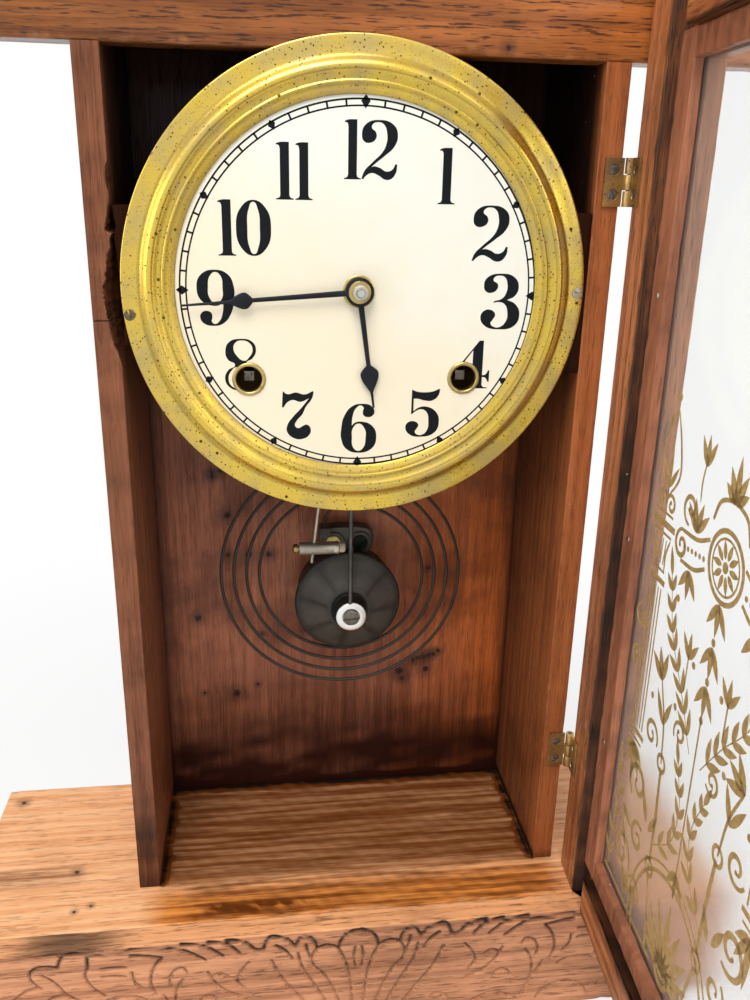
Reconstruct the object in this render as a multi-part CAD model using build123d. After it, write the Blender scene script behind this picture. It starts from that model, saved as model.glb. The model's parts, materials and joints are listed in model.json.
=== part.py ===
# Oak mantel clock with an eight-day time and strike movement, a coiled gong and a glazed door.
# Millimetres. +X is to the right, +Y to the back, +Z up; the origin is under the middle of the base.
import os
from math import atan2, cos, degrees, hypot, pi, radians, sin, sqrt

from build123d import *

# Base
BASE_W = 390.0
BASE_D = 126.0
BASE_H = 62.0
BASE_BOARD = 9.0
BASE_FRONT = 12.0
BASE_FRONT_ROUND = 1.5

# Case
CASE_W = 219.2
CASE_SETBACK = 38.0
SIDE_BOARD = 10.5
BACK_BOARD = 9.0
TOP_BOARD = 9.0
OPENING_H = 393.0
CREST_LAP = 29.0
RELIEF_DEPTH = 2.5
RELIEF_H = 88.0
RELIEF_IN = 9.0

# Crest: straight foot, lobed ears, shoulders and a round top; heights are above its lower edge
CREST_T = 14.0
CREST_FOOT = 2.0
CREST_HALF = 178.0
EAR_OUT = 188.0
EAR_MID_H = 24.0
EAR_TOP = (163.0, 42.0)
EAR_DIP = (122.0, 50.0)
SHOULDER_FOOT = (96.0, 80.0)
SHOULDER_MID = (80.0, 99.0)
SHOULDER_TOP = (57.0, 98.0)
PEAK_DIP = (50.0, 98.0)
PEAK_FOOT = (45.0, 104.0)
PEAK_H = 133.0

# Dial, below the crest; the radii and rises of the bezel's front run inwards from its flange
DIAL_DOWN = 91.0
SHEET = 0.8
BEZEL_R = 97.6
FLANGE_R = 90.2
RIDGE = (86.2, 3.4)
RIDGE_IN = (85.0, 3.3)
COVE_END = (81.2, 1.7)
BEAD = (79.4, 1.9)
SIGHT = (76.0, 0.2)
DIAL_R = 86.0
DIAL_SET_IN = 0.6
DIAL_HOLE_R = 5.0
GROMMET_R = 7.2
GROMMET_TUBE_R = 6.2
GROMMET_WALL = 0.7
GROMMET_LENGTH = 2.6
DIAL_SCREW_R = 95.0
DIAL_SCREW_ANGLES = (186.0, 0.0)
DIAL_SCREW_HEAD_R = 2.2
DIAL_SCREW_HEAD = 0.7
DIAL_SCREW_SHANK_R = 1.3
DIAL_SCREW_LENGTH = 12.0
BLOCK_REACH = 7.9
BLOCK_D = 22.0
BLOCK_UP = 33.0
BLOCK_DOWNS = (23.0, 35.0)

# Door, drawn closed and then swung open
DOOR_LAP = 27.5
DOOR_LIFT = 1.0
DOOR_T = 18.0
DOOR_GAP = 2.8
DOOR_OPEN = 86.4
STILE_MARGIN = 22.0
BOTTOM_MARGIN = 19.6
TOP_MARGIN = 20.1
LIP_W = 14.0
RAIL_LIP_W = 10.5
RABBET_D = 11.0
GLASS_T = 2.0
FILLET_T = 4.5

# Hinges
HINGE_H = 19.3
HINGE_UP = 70.0
HINGE_DOWN = 45.5
LEAF_T = 1.2
LEAF_W = 8.2
KNUCKLE_R = 2.0
HINGE_PIN_R = 0.9
PIN_OUT = 3.0
KNUCKLE_GAP = 0.4
RUN_FIT = 0.05
HINGE_SCREW_R = 1.2
HINGE_SCREW_HEAD_R = 2.2
HINGE_SCREW_HEAD = 0.8
HINGE_SCREW_LENGTH = 9.0
HINGE_SCREW_STEP = 10.0

# Hook that holds the door shut
HOOK_UP = 200.0
HOOK_REACH = 35.0
HOOK_T = 1.2
HOOK_W = 5.0
HOOK_NOTCH = 3.2
HOOK_SCREW_R = 1.4
HOOK_SCREW_HEAD_R = 3.0
HOOK_SCREW_HEAD = 1.2
HOOK_SCREW_LENGTH = 10.0
HOOK_PLAY = 0.3
CATCH_R = 1.2
CATCH_OUT = 3.4
CATCH_LENGTH = 8.0

# Gong, below the middle of the dial
GONG_X = 2.8
GONG_DOWN = 172.5
GONG_R = 28.3
GONG_RIM = 5.0
GONG_H = 36.0
GONG_SHOULDER = (24.0, 20.0)
GONG_CROWN = (11.0, 31.0)
GONG_BOSS_R = 7.0
LUG_HALF_W = 17.0
LUG_UP = 42.5
LUG_ROUND = 8.0
LUG_T = 9.0
LUG_SCREW_STEP = 14.4
LUG_SCREW_UP = 33.0
LUG_SCREW_R = 2.0
LUG_SCREW_HEAD_R = 4.2
LUG_SCREW_HEAD = 1.6
LUG_SCREW_IN = 6.0
WASHER_R = 7.5
WASHER_T = 1.5
GONG_SCREW_R = 2.0
GONG_SCREW_HEAD_R = 4.2
GONG_SCREW_HEAD = 2.4
GONG_SCREW_IN = 14.0
COIL_X = 1.5
COIL_OUT = 14.0
COIL_TOP_UP = 55.5
COIL_R = 43.0
COIL_PITCH = 6.8
COIL_HALF_TURNS = 8
COIL_WIRE_R = 1.0
COIL_LEAD_R = 11.0
COIL_GAP_LEAST = 0.4
SOCKET_HALF = 3.0

# Movement: places are given from the middle of the dial
PLATE_T = 1.5
FRONT_PLATE_IN = 29.0
PLATE_SPACE = 41.0
PLATE_HALF_W = 80.0
PLATE_TOP = 42.0
PLATE_BOTTOM = 73.0
PLATE_ROUND = 12.0
PLATE_WINDOWS = ((-62.0, 12.0, 22.0, 26.0), (48.0, 16.0, 34.0, 24.0))
PILLAR_PLACES = ((-72.0, 33.0), (72.0, 33.0), (-26.0, -66.0), (26.0, -66.0))
PILLAR_R = 3.0
PILLAR_FOOT_R = 4.5
PILLAR_END_R = 2.0
NUT_R = 4.2
NUT_T = 2.6
NUT_SIDES = 6
PIVOT_R = 0.7
ARBOR_R = 1.5
FINE_ARBOR_R = 0.85
END_PLAY = 0.3
WHEEL_T = 1.5
WINDING_X = 46.8
WINDING_DOWN = 37.0
WINDING_R = 3.0
WINDING_PIVOT_R = 2.0
WINDING_SQUARE = 4.2
WINDING_SET_IN = 6.5
RATCHET_TEETH = 14
RATCHET_R = 9.0
RATCHET_TOOTH = 1.6
SPRING_R = 24.0
SPRING_CORE_R = 5.5
SPRING_W = 16.0
SPRING_STRIP = 1.0
THIRD_ANGLE = 243.276
VERGE_DOWN = 17.0

# Teeth, in modules: each point is a height over the pitch circle and half a width
SPUR_TOOTH = ((-1.15, -0.60), (0.80, -0.26), (0.80, 0.26), (-1.15, 0.60))
POINTED_TOOTH = ((-1.15, -0.58), (0.95, 0.0), (-1.15, 0.58))
TRUNDLE_R = 0.62
SHROUD_OVER = 1.0
SHROUD_T = 1.0

# Trains
GREAT_TEETH = 60
GREAT_MODULE = 0.9
SECOND_PINS = 10
SECOND_TEETH = 40
CENTRE_LEAVES = 20
SECOND_MODULE = 0.97
CENTRE_TEETH = 72
THIRD_PINS = 7
THIRD_TEETH = 72
ESCAPE_PINS = 6
FINE_MODULE = 0.6
ESCAPE_TEETH = 39
ESCAPE_R = 16.0
ESCAPE_TOOTH = 2.2
ESCAPE_LEAN = 4.0
CANNON_LEAVES = 12
MINUTE_TEETH = 36
MINUTE_LEAVES = 10
HOUR_TEETH = 40
CANNON_MODULE = 0.6
STRIKE_SECOND_ANGLE = 65.0
STRIKE_TEETH = 48
FLY_PINS = 8
FLY_ANGLE = 100.0
FLY_HALF_W = 8.0
FLY_T = 0.6
LIFT_PINS = 8
LIFT_PIN_R = 0.8
LIFT_CIRCLE_R = 10.0
LIFT_PIN_OUT = 4.0

# Depths of the wheels, from the back of the front plate; in front of it they are negative
CENTRE_WHEEL_IN = 3.5
LEAF_HALF = 1.5
SECOND_WHEEL_IN = 7.5
GREAT_WHEEL_IN = 13.0
THIRD_WHEEL_IN = 34.5
SPRING_IN = 16.8
FLY_IN = 14.0
FLY_LENGTH = 18.0
LANTERN_HALF = 3.0
CANNON_OUT = 5.0
HOUR_WHEEL_OUT = 9.5
ESCAPE_OUT = 3.0
MOTION_HALF = 1.6

# Hands
CENTRE_ARBOR_R = 1.6
HOUR_PIPE_R = 3.0
HAND_T = 0.6
HOUR_HAND_OUT = 1.8
MINUTE_HAND_OUT = 3.8
HOUR_HAND_ANGLE = -82.0
MINUTE_HAND_ANGLE = 184.5
HOUR_HAND_LENGTH = 50.0
HOUR_SPADE_AT = 35.0
HOUR_SPADE_R = 4.0
HOUR_HUB_R = 5.0
MINUTE_HAND_LENGTH = 74.0
MINUTE_SPADE_AT = 47.7
MINUTE_SPADE_R = 3.2
MINUTE_HUB_R = 6.0
HAND_STEM = 1.2
HAND_TIP = 0.5
SPADE_RUN = 2.4
SPADE_LEAVE = 50.0
HAND_WASHER_R = 4.7
HAND_WASHER_T = 0.5
HAND_NUT_R = 3.4
HAND_NUT_T = 3.8
HAND_NUT_KNURLS = 20
HAND_NUT_KNURL = 0.35
ARBOR_END = 0.5

# Pendulum, verge and strike hammer
STUD_R = 1.2
EYE_R = 2.3
EYE_W = 3.0
ROD_R = 1.1
ROD_LENGTH = 138.0
ROD_OUT = 8.0
STUD_OVER = 1.0
VERGE_W = 2.6
VERGE_HALF_SPAN = 11.4
VERGE_CLEAR = 2.0
VERGE_STRIP = 1.6
CRUTCH_R = 0.6
CRUTCH_OUT = 5.75
CRUTCH_DOWN = 45.0
FORK_GAP = 0.5
HAMMER_AT = (-16.0, -45.0)
HAMMER_WIRE_R = 0.9
HAMMER_BACK = 19.5
HAMMER_BEND = (-10.7, -87.0)
HAMMER_END = (-17.5, -144.0)
HAMMER_BEND_R = 40.0
HAMMER_HEAD_DOWN = 136.0
HAMMER_HEAD_X = (-24.0, -3.2)
HAMMER_HEAD_R = 3.4
HAMMER_BUTTON = (-27.5, 2.3)
HAMMER_TIP_R = 2.6
HAMMER_TIP_X = 0.2
TAIL_END = (-28.0, -20.8)
TAIL_W = 2.0
TAIL_T = 1.6

# Planes and middles that several pieces share
BASE_Y = -BASE_D / 2
REAR_Y = BASE_D / 2
CASE_Y = BASE_Y + CASE_SETBACK
BACK_Y = REAR_Y - BACK_BOARD
CASE_HALF = CASE_W / 2
INNER_HALF = CASE_HALF - SIDE_BOARD
CREST_Z = BASE_H + OPENING_H
CASE_TOP = CREST_Z + CREST_LAP
DIAL_Z = CREST_Z - DIAL_DOWN
DIAL_Y = CASE_Y + DIAL_SET_IN
GONG_Z = DIAL_Z - GONG_DOWN
DOOR_BACK_Y = CASE_Y - DOOR_GAP
DOOR_Z = BASE_H + DOOR_LIFT
DOOR_TOP = CREST_Z + DOOR_LAP
PIN_X = CASE_HALF + PIN_OUT
PIN_Y = CASE_Y - DOOR_GAP / 2
SIGHT_HALF = CASE_HALF - STILE_MARGIN - LIP_W
PLATE_Y = CASE_Y + FRONT_PLATE_IN
BETWEEN_Y = PLATE_Y + PLATE_T
REAR_PLATE_Y = BETWEEN_Y + PLATE_SPACE
GREAT_R = GREAT_TEETH * GREAT_MODULE / 2
FLANGE_FRONT = CASE_Y - SHEET


def block(x0, x1, y0, y1, z0, z1):
    """Box between two corners."""
    return Pos(x0, y0, z0) * Box(x1 - x0, y1 - y0, z1 - z0, align=Align.MIN)


def slab(outline, front, back):
    """Outline drawn in x and z, thick from front to back along y."""
    return extrude(Plane.XZ.offset(-back) * outline, amount=back - front)


def rod(x, z, front, back, radius):
    """Round bar along y."""
    return slab(Pos(x, z) * Circle(radius), front, back)


def tube(x, z, front, back, radius, bore):
    """Round bar along y with a round hole."""
    return slab(Pos(x, z) * (Circle(radius) - Circle(bore)), front, back)


def turned(profile, x, z):
    """Body of revolution about a line along y; the profile's points are radius and y."""
    face = make_face(Polyline(*profile, close=True))
    return revolve(Pos(x, 0, z) * face, Axis((x, 0, z), (0, 1, 0)))


def wire_along(points, radius, bend):
    """Round wire through points with its corners bent to one radius."""
    path = FilletPolyline(*points, radius=bend)
    return sweep(Plane(origin=path @ 0, z_dir=path % 0) * Circle(radius), path=path)


def polar(radius, angle):
    """Point at a radius and an angle in degrees."""
    return radius * cos(radians(angle)), radius * sin(radians(angle))


def add(point, step):
    """Sum of two points."""
    return point[0] + step[0], point[1] + step[1]


def bearing(a, b):
    """Angle in degrees of the line from a to b."""
    return degrees(atan2(b[1] - a[1], b[0] - a[0]))


def meeting(a, radius_a, b, radius_b, side):
    """Point at the given distances from a and b, on the left (+1) or right (-1) of the line a to b."""
    span = hypot(b[0] - a[0], b[1] - a[1])
    along = (radius_a ** 2 - radius_b ** 2 + span ** 2) / (2 * span)
    across = side * sqrt(radius_a ** 2 - along ** 2)
    return add(a, polar(hypot(along, across), bearing(a, b) + degrees(atan2(across, along))))


def mesh_phase(a, b, teeth_a, teeth_b, phase_a):
    """Angle of a tooth of wheel b that puts its gap against a tooth of wheel a."""
    line = bearing(a, b)
    lag = (line - phase_a) % (360 / teeth_a)
    return line + 180 + lag * teeth_a / teeth_b + 180 / teeth_b


def toothed(teeth, module, phase, tooth):
    """Outline of a wheel whose teeth follow the given points."""
    points = []
    for number in range(teeth):
        middle = phase + 360 * number / teeth
        for rise, half in tooth:
            radius = module * (teeth / 2 + rise)
            points.append(polar(radius, middle + degrees(half * module / radius)))
    return make_face(Polyline(*points, close=True))


def lantern(pins, module, phase, front, back):
    """Lantern pinion: trundles between two shrouds, to go on an arbor."""
    pitch = pins * module / 2
    shroud = pitch + SHROUD_OVER * module
    body = rod(0, 0, front, front + SHROUD_T, shroud)
    body += rod(0, 0, back - SHROUD_T, back, shroud)
    for number in range(pins):
        x, z = polar(pitch, phase + 360 * number / pins)
        body += rod(x, z, front + SHROUD_T / 2, back - SHROUD_T / 2, TRUNDLE_R * module)
    return body


def arbor(front, back, radius=ARBOR_R):
    """Arbor between the plates, with its two pivots."""
    body = rod(0, 0, front, back, radius)
    return body + rod(0, 0, PLATE_Y, REAR_PLATE_Y + PLATE_T, PIVOT_R)


def at(place, solid):
    """Solid drawn round the middle of the dial's axis, moved to a place on the movement."""
    return Pos(place[0], 0, DIAL_Z + place[1]) * solid


def swung(solid):
    """Door piece turned from shut to the angle at which the door stands."""
    return Pos(PIN_X, PIN_Y, 0) * Rot(0, 0, DOOR_OPEN) * Pos(-PIN_X, -PIN_Y, 0) * solid


PARTS = {}

# Base boards
PARTS["base_bottom_board"] = block(-BASE_W / 2, BASE_W / 2, BASE_Y + BASE_FRONT, REAR_Y, 0, BASE_BOARD)
PARTS["base_top_board"] = block(
    -BASE_W / 2, BASE_W / 2, BASE_Y + BASE_FRONT, REAR_Y, BASE_H - BASE_BOARD, BASE_H)
front_board = block(-BASE_W / 2, BASE_W / 2, BASE_Y, BASE_Y + BASE_FRONT, 0, BASE_H)
front_edges = front_board.edges().filter_by(Axis.X).group_by(Axis.Y)[0]
PARTS["base_front_board"] = fillet(front_edges, BASE_FRONT_ROUND)
base_ends = [
    block(x, x + BASE_BOARD, BASE_Y + BASE_FRONT, REAR_Y, BASE_BOARD, BASE_H - BASE_BOARD)
    for x in (-BASE_W / 2, BASE_W / 2 - BASE_BOARD)]
base_rail = block(
    BASE_BOARD - BASE_W / 2, BASE_W / 2 - BASE_BOARD, REAR_Y - BASE_BOARD, REAR_Y,
    BASE_BOARD, BASE_H - BASE_BOARD)
PARTS["base_ends_and_back"] = Compound(base_ends + [base_rail])

# Hinge places, and the screws, whose heads lie flush in every leaf
HINGE_ZS = (BASE_H + HINGE_UP, CREST_Z - HINGE_DOWN)
SCREW_ZS = [z + step for z in HINGE_ZS for step in (-HINGE_SCREW_STEP / 2, HINGE_SCREW_STEP / 2)]
LEAF_OUT_X = PIN_X - KNUCKLE_R - KNUCKLE_GAP
LEAF_IN_X = LEAF_OUT_X - LEAF_W
SCREW_X = (LEAF_IN_X + LEAF_OUT_X) / 2
CASE_SCREWS = [
    rod(SCREW_X, z, CASE_Y - LEAF_T, CASE_Y - LEAF_T + HINGE_SCREW_HEAD, HINGE_SCREW_HEAD_R)
    + rod(SCREW_X, z, CASE_Y - LEAF_T, CASE_Y + HINGE_SCREW_LENGTH, HINGE_SCREW_R) for z in SCREW_ZS]
DOOR_SCREWS = [
    rod(SCREW_X, z, DOOR_BACK_Y + LEAF_T - HINGE_SCREW_HEAD, DOOR_BACK_Y + LEAF_T, HINGE_SCREW_HEAD_R)
    + rod(SCREW_X, z, DOOR_BACK_Y - HINGE_SCREW_LENGTH, DOOR_BACK_Y + LEAF_T, HINGE_SCREW_R)
    for z in SCREW_ZS]

# Side boards, notched for the crest; the left one is relieved beside the bezel
side = block(INNER_HALF, CASE_HALF, CASE_Y, BACK_Y, BASE_H, CASE_TOP)
side -= block(INNER_HALF, CASE_HALF, CASE_Y, CASE_Y + CREST_T, CREST_Z, CASE_TOP)
CATCH_Y = DOOR_BACK_Y - DOOR_T / 2 + HOOK_REACH
CATCH_Z = BASE_H + HOOK_UP
catch_pin = Plane.YZ.offset(-CASE_HALF - CATCH_OUT) * Pos(CATCH_Y, CATCH_Z) * Cylinder(
    CATCH_R, CATCH_OUT + CATCH_LENGTH, align=(Align.CENTER, Align.CENTER, Align.MIN))
relief_r = (RELIEF_H ** 2 / 4 + RELIEF_DEPTH ** 2) / (2 * RELIEF_DEPTH)
relief = rod(relief_r - INNER_HALF - RELIEF_DEPTH, DIAL_Z, CASE_Y, CASE_Y + RELIEF_IN, relief_r)
PARTS["left_side_board"] = mirror(side, Plane.YZ) - relief - catch_pin
PARTS["right_side_board"] = side - Compound(CASE_SCREWS)
PARTS["catch_pin"] = catch_pin

# Back and top boards
back_board = block(-CASE_HALF, CASE_HALF, BACK_Y, REAR_Y, BASE_H, CASE_TOP)
PARTS["top_board"] = block(
    -CASE_HALF, CASE_HALF, CASE_Y + CREST_T, REAR_Y, CASE_TOP, CASE_TOP + TOP_BOARD)

# Crest board with a mirrored outline
crest_half = [
    Line((0, 0), (CREST_HALF, 0)),
    ThreePointArc((CREST_HALF, 0), (EAR_OUT, EAR_MID_H), EAR_TOP),
    ThreePointArc(EAR_TOP, EAR_DIP, SHOULDER_FOOT),
    ThreePointArc(SHOULDER_FOOT, SHOULDER_MID, SHOULDER_TOP),
    ThreePointArc(SHOULDER_TOP, PEAK_DIP, PEAK_FOOT),
    ThreePointArc(PEAK_FOOT, (0, PEAK_H), (-PEAK_FOOT[0], PEAK_FOOT[1]))]
crest_other = [mirror(edge, Plane.YZ) for edge in crest_half[:-1]]
crest = slab(make_face(Curve(crest_half + crest_other)), CASE_Y, CASE_Y + CREST_T)
crest = Pos(0, 0, CREST_Z) * crest
foot_edge = crest.edges().filter_by(Axis.X).group_by(Axis.Z)[0].sort_by(Axis.Y)[0]
PARTS["crest_board"] = chamfer(foot_edge, CREST_FOOT)

# Dial screws and the blocks that they hold to
dial_screws = []
for angle in DIAL_SCREW_ANGLES:
    x, z = polar(DIAL_SCREW_R, angle)
    head = rod(x, DIAL_Z + z, FLANGE_FRONT - DIAL_SCREW_HEAD, FLANGE_FRONT, DIAL_SCREW_HEAD_R)
    shank = rod(x, DIAL_Z + z, FLANGE_FRONT, CASE_Y + DIAL_SCREW_LENGTH, DIAL_SCREW_SHANK_R)
    dial_screws.append(head + shank)
PARTS["dial_screws"] = Compound(dial_screws)
block_w = INNER_HALF - DIAL_SCREW_R + BLOCK_REACH
left_block, right_block = [
    block(x, x + block_w, CASE_Y, CASE_Y + BLOCK_D, DIAL_Z - down, DIAL_Z + BLOCK_UP)
    for x, down in zip((-INNER_HALF, INNER_HALF - block_w), BLOCK_DOWNS)]
PARTS["dial_blocks"] = Compound([left_block - relief - dial_screws[0], right_block - dial_screws[1]])

# Bezel, spun from sheet
bezel_front = [(BEZEL_R, SHEET), (FLANGE_R, SHEET), RIDGE, RIDGE_IN, COVE_END, BEAD, SIGHT]
bezel_profile = [(radius, CASE_Y - rise) for radius, rise in bezel_front]
bezel_profile += [(radius, CASE_Y - rise + SHEET) for radius, rise in reversed(bezel_front)]
PARTS["dial_bezel"] = turned(bezel_profile, 0, DIAL_Z) - Compound(dial_screws)

# Dial plate with its grommets
WINDING_PLACES = ((-WINDING_X, -WINDING_DOWN), (WINDING_X, -WINDING_DOWN))
dial_outline = Circle(DIAL_R) - Circle(DIAL_HOLE_R)
for place in WINDING_PLACES:
    dial_outline -= Pos(*place) * Circle(GROMMET_TUBE_R)
PARTS["dial_plate"] = at((0, 0), slab(dial_outline, DIAL_Y, DIAL_Y + SHEET))
bore_r = GROMMET_TUBE_R - GROMMET_WALL
grommet = tube(0, 0, DIAL_Y - SHEET, DIAL_Y, GROMMET_R, bore_r)
grommet += tube(0, 0, DIAL_Y, DIAL_Y + GROMMET_LENGTH, GROMMET_TUBE_R, bore_r)
PARTS["dial_grommets"] = Compound([at(place, grommet) for place in WINDING_PLACES])

# Gong: iron base with lugs, its screws, and the coil
gong_profile = [
    (0, BACK_Y), (GONG_R, BACK_Y), (GONG_R, BACK_Y - GONG_RIM),
    (GONG_SHOULDER[0], BACK_Y - GONG_SHOULDER[1]), (GONG_CROWN[0], BACK_Y - GONG_CROWN[1]),
    (GONG_BOSS_R, BACK_Y - GONG_CROWN[1]), (GONG_BOSS_R, BACK_Y - GONG_H), (0, BACK_Y - GONG_H)]
lug_outline = Rectangle(2 * LUG_HALF_W, LUG_UP, align=(Align.CENTER, Align.MIN))
lug_outline = fillet(lug_outline.vertices().group_by(Axis.Y)[-1], LUG_ROUND)
GONG_TIP_Y = BACK_Y - GONG_H
gong_screw = rod(
    GONG_X, GONG_Z, GONG_TIP_Y - WASHER_T - GONG_SCREW_HEAD, GONG_TIP_Y - WASHER_T, GONG_SCREW_HEAD_R)
gong_screw += rod(GONG_X, GONG_Z, GONG_TIP_Y - WASHER_T, GONG_TIP_Y + GONG_SCREW_IN, GONG_SCREW_R)
lug_screws = []
for side_sign in (-1, 1):
    x = GONG_X + side_sign * LUG_SCREW_STEP / 2
    z = GONG_Z + LUG_SCREW_UP
    head = rod(x, z, BACK_Y - LUG_T - LUG_SCREW_HEAD, BACK_Y - LUG_T, LUG_SCREW_HEAD_R)
    lug_screws.append(head + rod(x, z, BACK_Y - LUG_T, BACK_Y + LUG_SCREW_IN, LUG_SCREW_R))
PARTS["gong_mounting_screws"] = Compound(lug_screws)
PARTS["gong_screw"] = gong_screw
PARTS["gong_washer"] = tube(GONG_X, GONG_Z, GONG_TIP_Y - WASHER_T, GONG_TIP_Y, WASHER_R, GONG_SCREW_R)

# The coil's half turns change centre so that each one leaves along the last; its lead stands in the lug
COIL_Y = BACK_Y - COIL_OUT
COIL_TOP = GONG_Z + COIL_TOP_UP
LUG_TOP = GONG_Z + LUG_UP
lead_x = COIL_X - COIL_LEAD_R
lead_z = COIL_TOP - COIL_LEAD_R
coil_edges = [
    Line((lead_x, LUG_TOP), (lead_x, lead_z)),
    CenterArc((COIL_X, lead_z), COIL_LEAD_R, 180, -90)]
coil_points = []
turn_top = COIL_TOP
turn_foot = COIL_TOP
for half_turn in range(COIL_HALF_TURNS):
    turn_r = COIL_R + half_turn * COIL_PITCH / 2
    going_down = half_turn % 2 == 0
    middle = turn_top - turn_r if going_down else turn_foot + turn_r
    first = 90 if going_down else -90
    coil_edges.append(CenterArc((COIL_X, middle), turn_r, first, -180))
    coil_points.append([add((COIL_X, middle), polar(turn_r, first - step)) for step in range(180)])
    turn_foot = middle - turn_r
    turn_top = middle + turn_r
coil_path = Plane.XZ.offset(-COIL_Y) * Wire(coil_edges)
coil_start = Plane(origin=coil_path @ 0, z_dir=coil_path % 0)
gong_coil = sweep(coil_start * Circle(COIL_WIRE_R), path=coil_path)
coil_gap = min(
    hypot(p[0] - q[0], p[1] - q[1]) for late in range(2, COIL_HALF_TURNS)
    for p in coil_points[late] for q in coil_points[late - 2]) - 2 * COIL_WIRE_R
print(f"gong coil: least gap to itself {coil_gap:.2f} mm, volume {gong_coil.volume:.0f} mm3 against "
      f"{pi * COIL_WIRE_R ** 2 * coil_path.length:.0f} mm3, gap is enough: {coil_gap > COIL_GAP_LEAST}")
PARTS["gong_coil"] = gong_coil

# The lug reaches forward to hold the coil's lead
lug = Pos(GONG_X, 0, GONG_Z) * slab(lug_outline, BACK_Y - LUG_T, BACK_Y)
coil_socket = block(
    lead_x - SOCKET_HALF, lead_x + SOCKET_HALF, COIL_Y - SOCKET_HALF, BACK_Y - LUG_T,
    GONG_Z + LUG_SCREW_UP + LUG_SCREW_HEAD_R, LUG_TOP)
gong_block = turned(gong_profile, GONG_X, GONG_Z) + lug + coil_socket
PARTS["gong_block"] = gong_block - gong_screw - Compound(lug_screws)
PARTS["back_board"] = back_board - Compound(lug_screws)

# Door frame: stiles run full height, rails fit between them, all rabbeted from behind
RABBET_Y = DOOR_BACK_Y - RABBET_D
DOOR_FRONT_Y = DOOR_BACK_Y - DOOR_T
RABBET_HALF = CASE_HALF - STILE_MARGIN
RABBET_Z = DOOR_Z + BOTTOM_MARGIN
RABBET_TOP = DOOR_TOP - TOP_MARGIN
SIGHT_Z = RABBET_Z + RAIL_LIP_W
SIGHT_TOP = RABBET_TOP - RAIL_LIP_W
rabbet = block(-RABBET_HALF, RABBET_HALF, RABBET_Y, DOOR_BACK_Y, RABBET_Z, RABBET_TOP)
stile = block(SIGHT_HALF, CASE_HALF, DOOR_FRONT_Y, DOOR_BACK_Y, DOOR_Z, DOOR_TOP) - rabbet
HOOK_Y = DOOR_BACK_Y - DOOR_T / 2
HOOK_FACE_X = -CASE_HALF - HOOK_PLAY
hook_plane = Plane.YZ.offset(HOOK_FACE_X - HOOK_T)
hook_screw = Plane.YZ.offset(HOOK_FACE_X - HOOK_T - HOOK_PLAY) * Pos(HOOK_Y, CATCH_Z) * Cylinder(
    HOOK_SCREW_R, HOOK_T + 2 * HOOK_PLAY + HOOK_SCREW_LENGTH,
    align=(Align.CENTER, Align.CENTER, Align.MIN))
hook_screw += Plane.YZ.offset(HOOK_FACE_X - HOOK_T - HOOK_PLAY) * Pos(HOOK_Y, CATCH_Z) * Cylinder(
    HOOK_SCREW_HEAD_R, HOOK_SCREW_HEAD, align=(Align.CENTER, Align.CENTER, Align.MAX))
door_pieces = {
    "door_hinge_stile": stile - Compound(DOOR_SCREWS),
    "door_latch_stile": mirror(stile, Plane.YZ) - hook_screw,
    "door_top_rail": block(
        -SIGHT_HALF, SIGHT_HALF, DOOR_FRONT_Y, DOOR_BACK_Y, SIGHT_TOP, DOOR_TOP) - rabbet,
    "door_bottom_rail": block(
        -SIGHT_HALF, SIGHT_HALF, DOOR_FRONT_Y, DOOR_BACK_Y, DOOR_Z, SIGHT_Z) - rabbet,
    "door_glass": block(
        -RABBET_HALF, RABBET_HALF, RABBET_Y, RABBET_Y + GLASS_T, RABBET_Z, RABBET_TOP),
    "hook_screw": hook_screw}

# Fillets that hold the glass: two long ones and two between them
FILLET_Y = RABBET_Y + GLASS_T
door_pieces["glass_fillets"] = Compound([
    block(-RABBET_HALF, -SIGHT_HALF, FILLET_Y, FILLET_Y + FILLET_T, RABBET_Z, RABBET_TOP),
    block(SIGHT_HALF, RABBET_HALF, FILLET_Y, FILLET_Y + FILLET_T, RABBET_Z, RABBET_TOP),
    block(-SIGHT_HALF, SIGHT_HALF, FILLET_Y, FILLET_Y + FILLET_T, RABBET_Z, SIGHT_Z),
    block(-SIGHT_HALF, SIGHT_HALF, FILLET_Y, FILLET_Y + FILLET_T, SIGHT_TOP, RABBET_TOP)])

# Butt hinges: the case leaf has the middle knuckle, the door leaf the outer two
KNUCKLE_H = HINGE_H / 3


def upright(z0, z1, radius):
    """Round bar on the hinge line."""
    return Pos(PIN_X, PIN_Y, z0) * Cylinder(radius, z1 - z0, align=(Align.CENTER, Align.CENTER, Align.MIN))


def leaf(front, back, spans, bore):
    """Hinge leaf with a knuckle over each span of heights."""
    foot = spans[0][2]
    plate = block(LEAF_IN_X, LEAF_OUT_X, front, back, foot, foot + HINGE_H)
    for z0, z1, _ in spans:
        plate += block(LEAF_OUT_X, PIN_X, front, back, z0, z1) + upright(z0, z1, KNUCKLE_R)
    for z0, z1, _ in spans:
        plate -= upright(z0, z1, bore)
    return plate


case_leaves = []
door_leaves = []
hinge_pins = []
for z in HINGE_ZS:
    foot = z - HINGE_H / 2
    inner = [(foot + KNUCKLE_H + KNUCKLE_GAP / 2, foot + 2 * KNUCKLE_H - KNUCKLE_GAP / 2, foot)]
    outer = [
        (foot, foot + KNUCKLE_H - KNUCKLE_GAP / 2, foot),
        (foot + 2 * KNUCKLE_H + KNUCKLE_GAP / 2, foot + HINGE_H, foot)]
    case_leaves.append(leaf(CASE_Y - LEAF_T, CASE_Y, inner, HINGE_PIN_R))
    door_leaves.append(leaf(DOOR_BACK_Y, DOOR_BACK_Y + LEAF_T, outer, HINGE_PIN_R + RUN_FIT))
    hinge_pins.append(upright(foot, foot + HINGE_H, HINGE_PIN_R))
PARTS["case_hinge_leaves"] = Compound(case_leaves) - Compound(CASE_SCREWS)
PARTS["case_hinge_screws"] = Compound(CASE_SCREWS)
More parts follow.
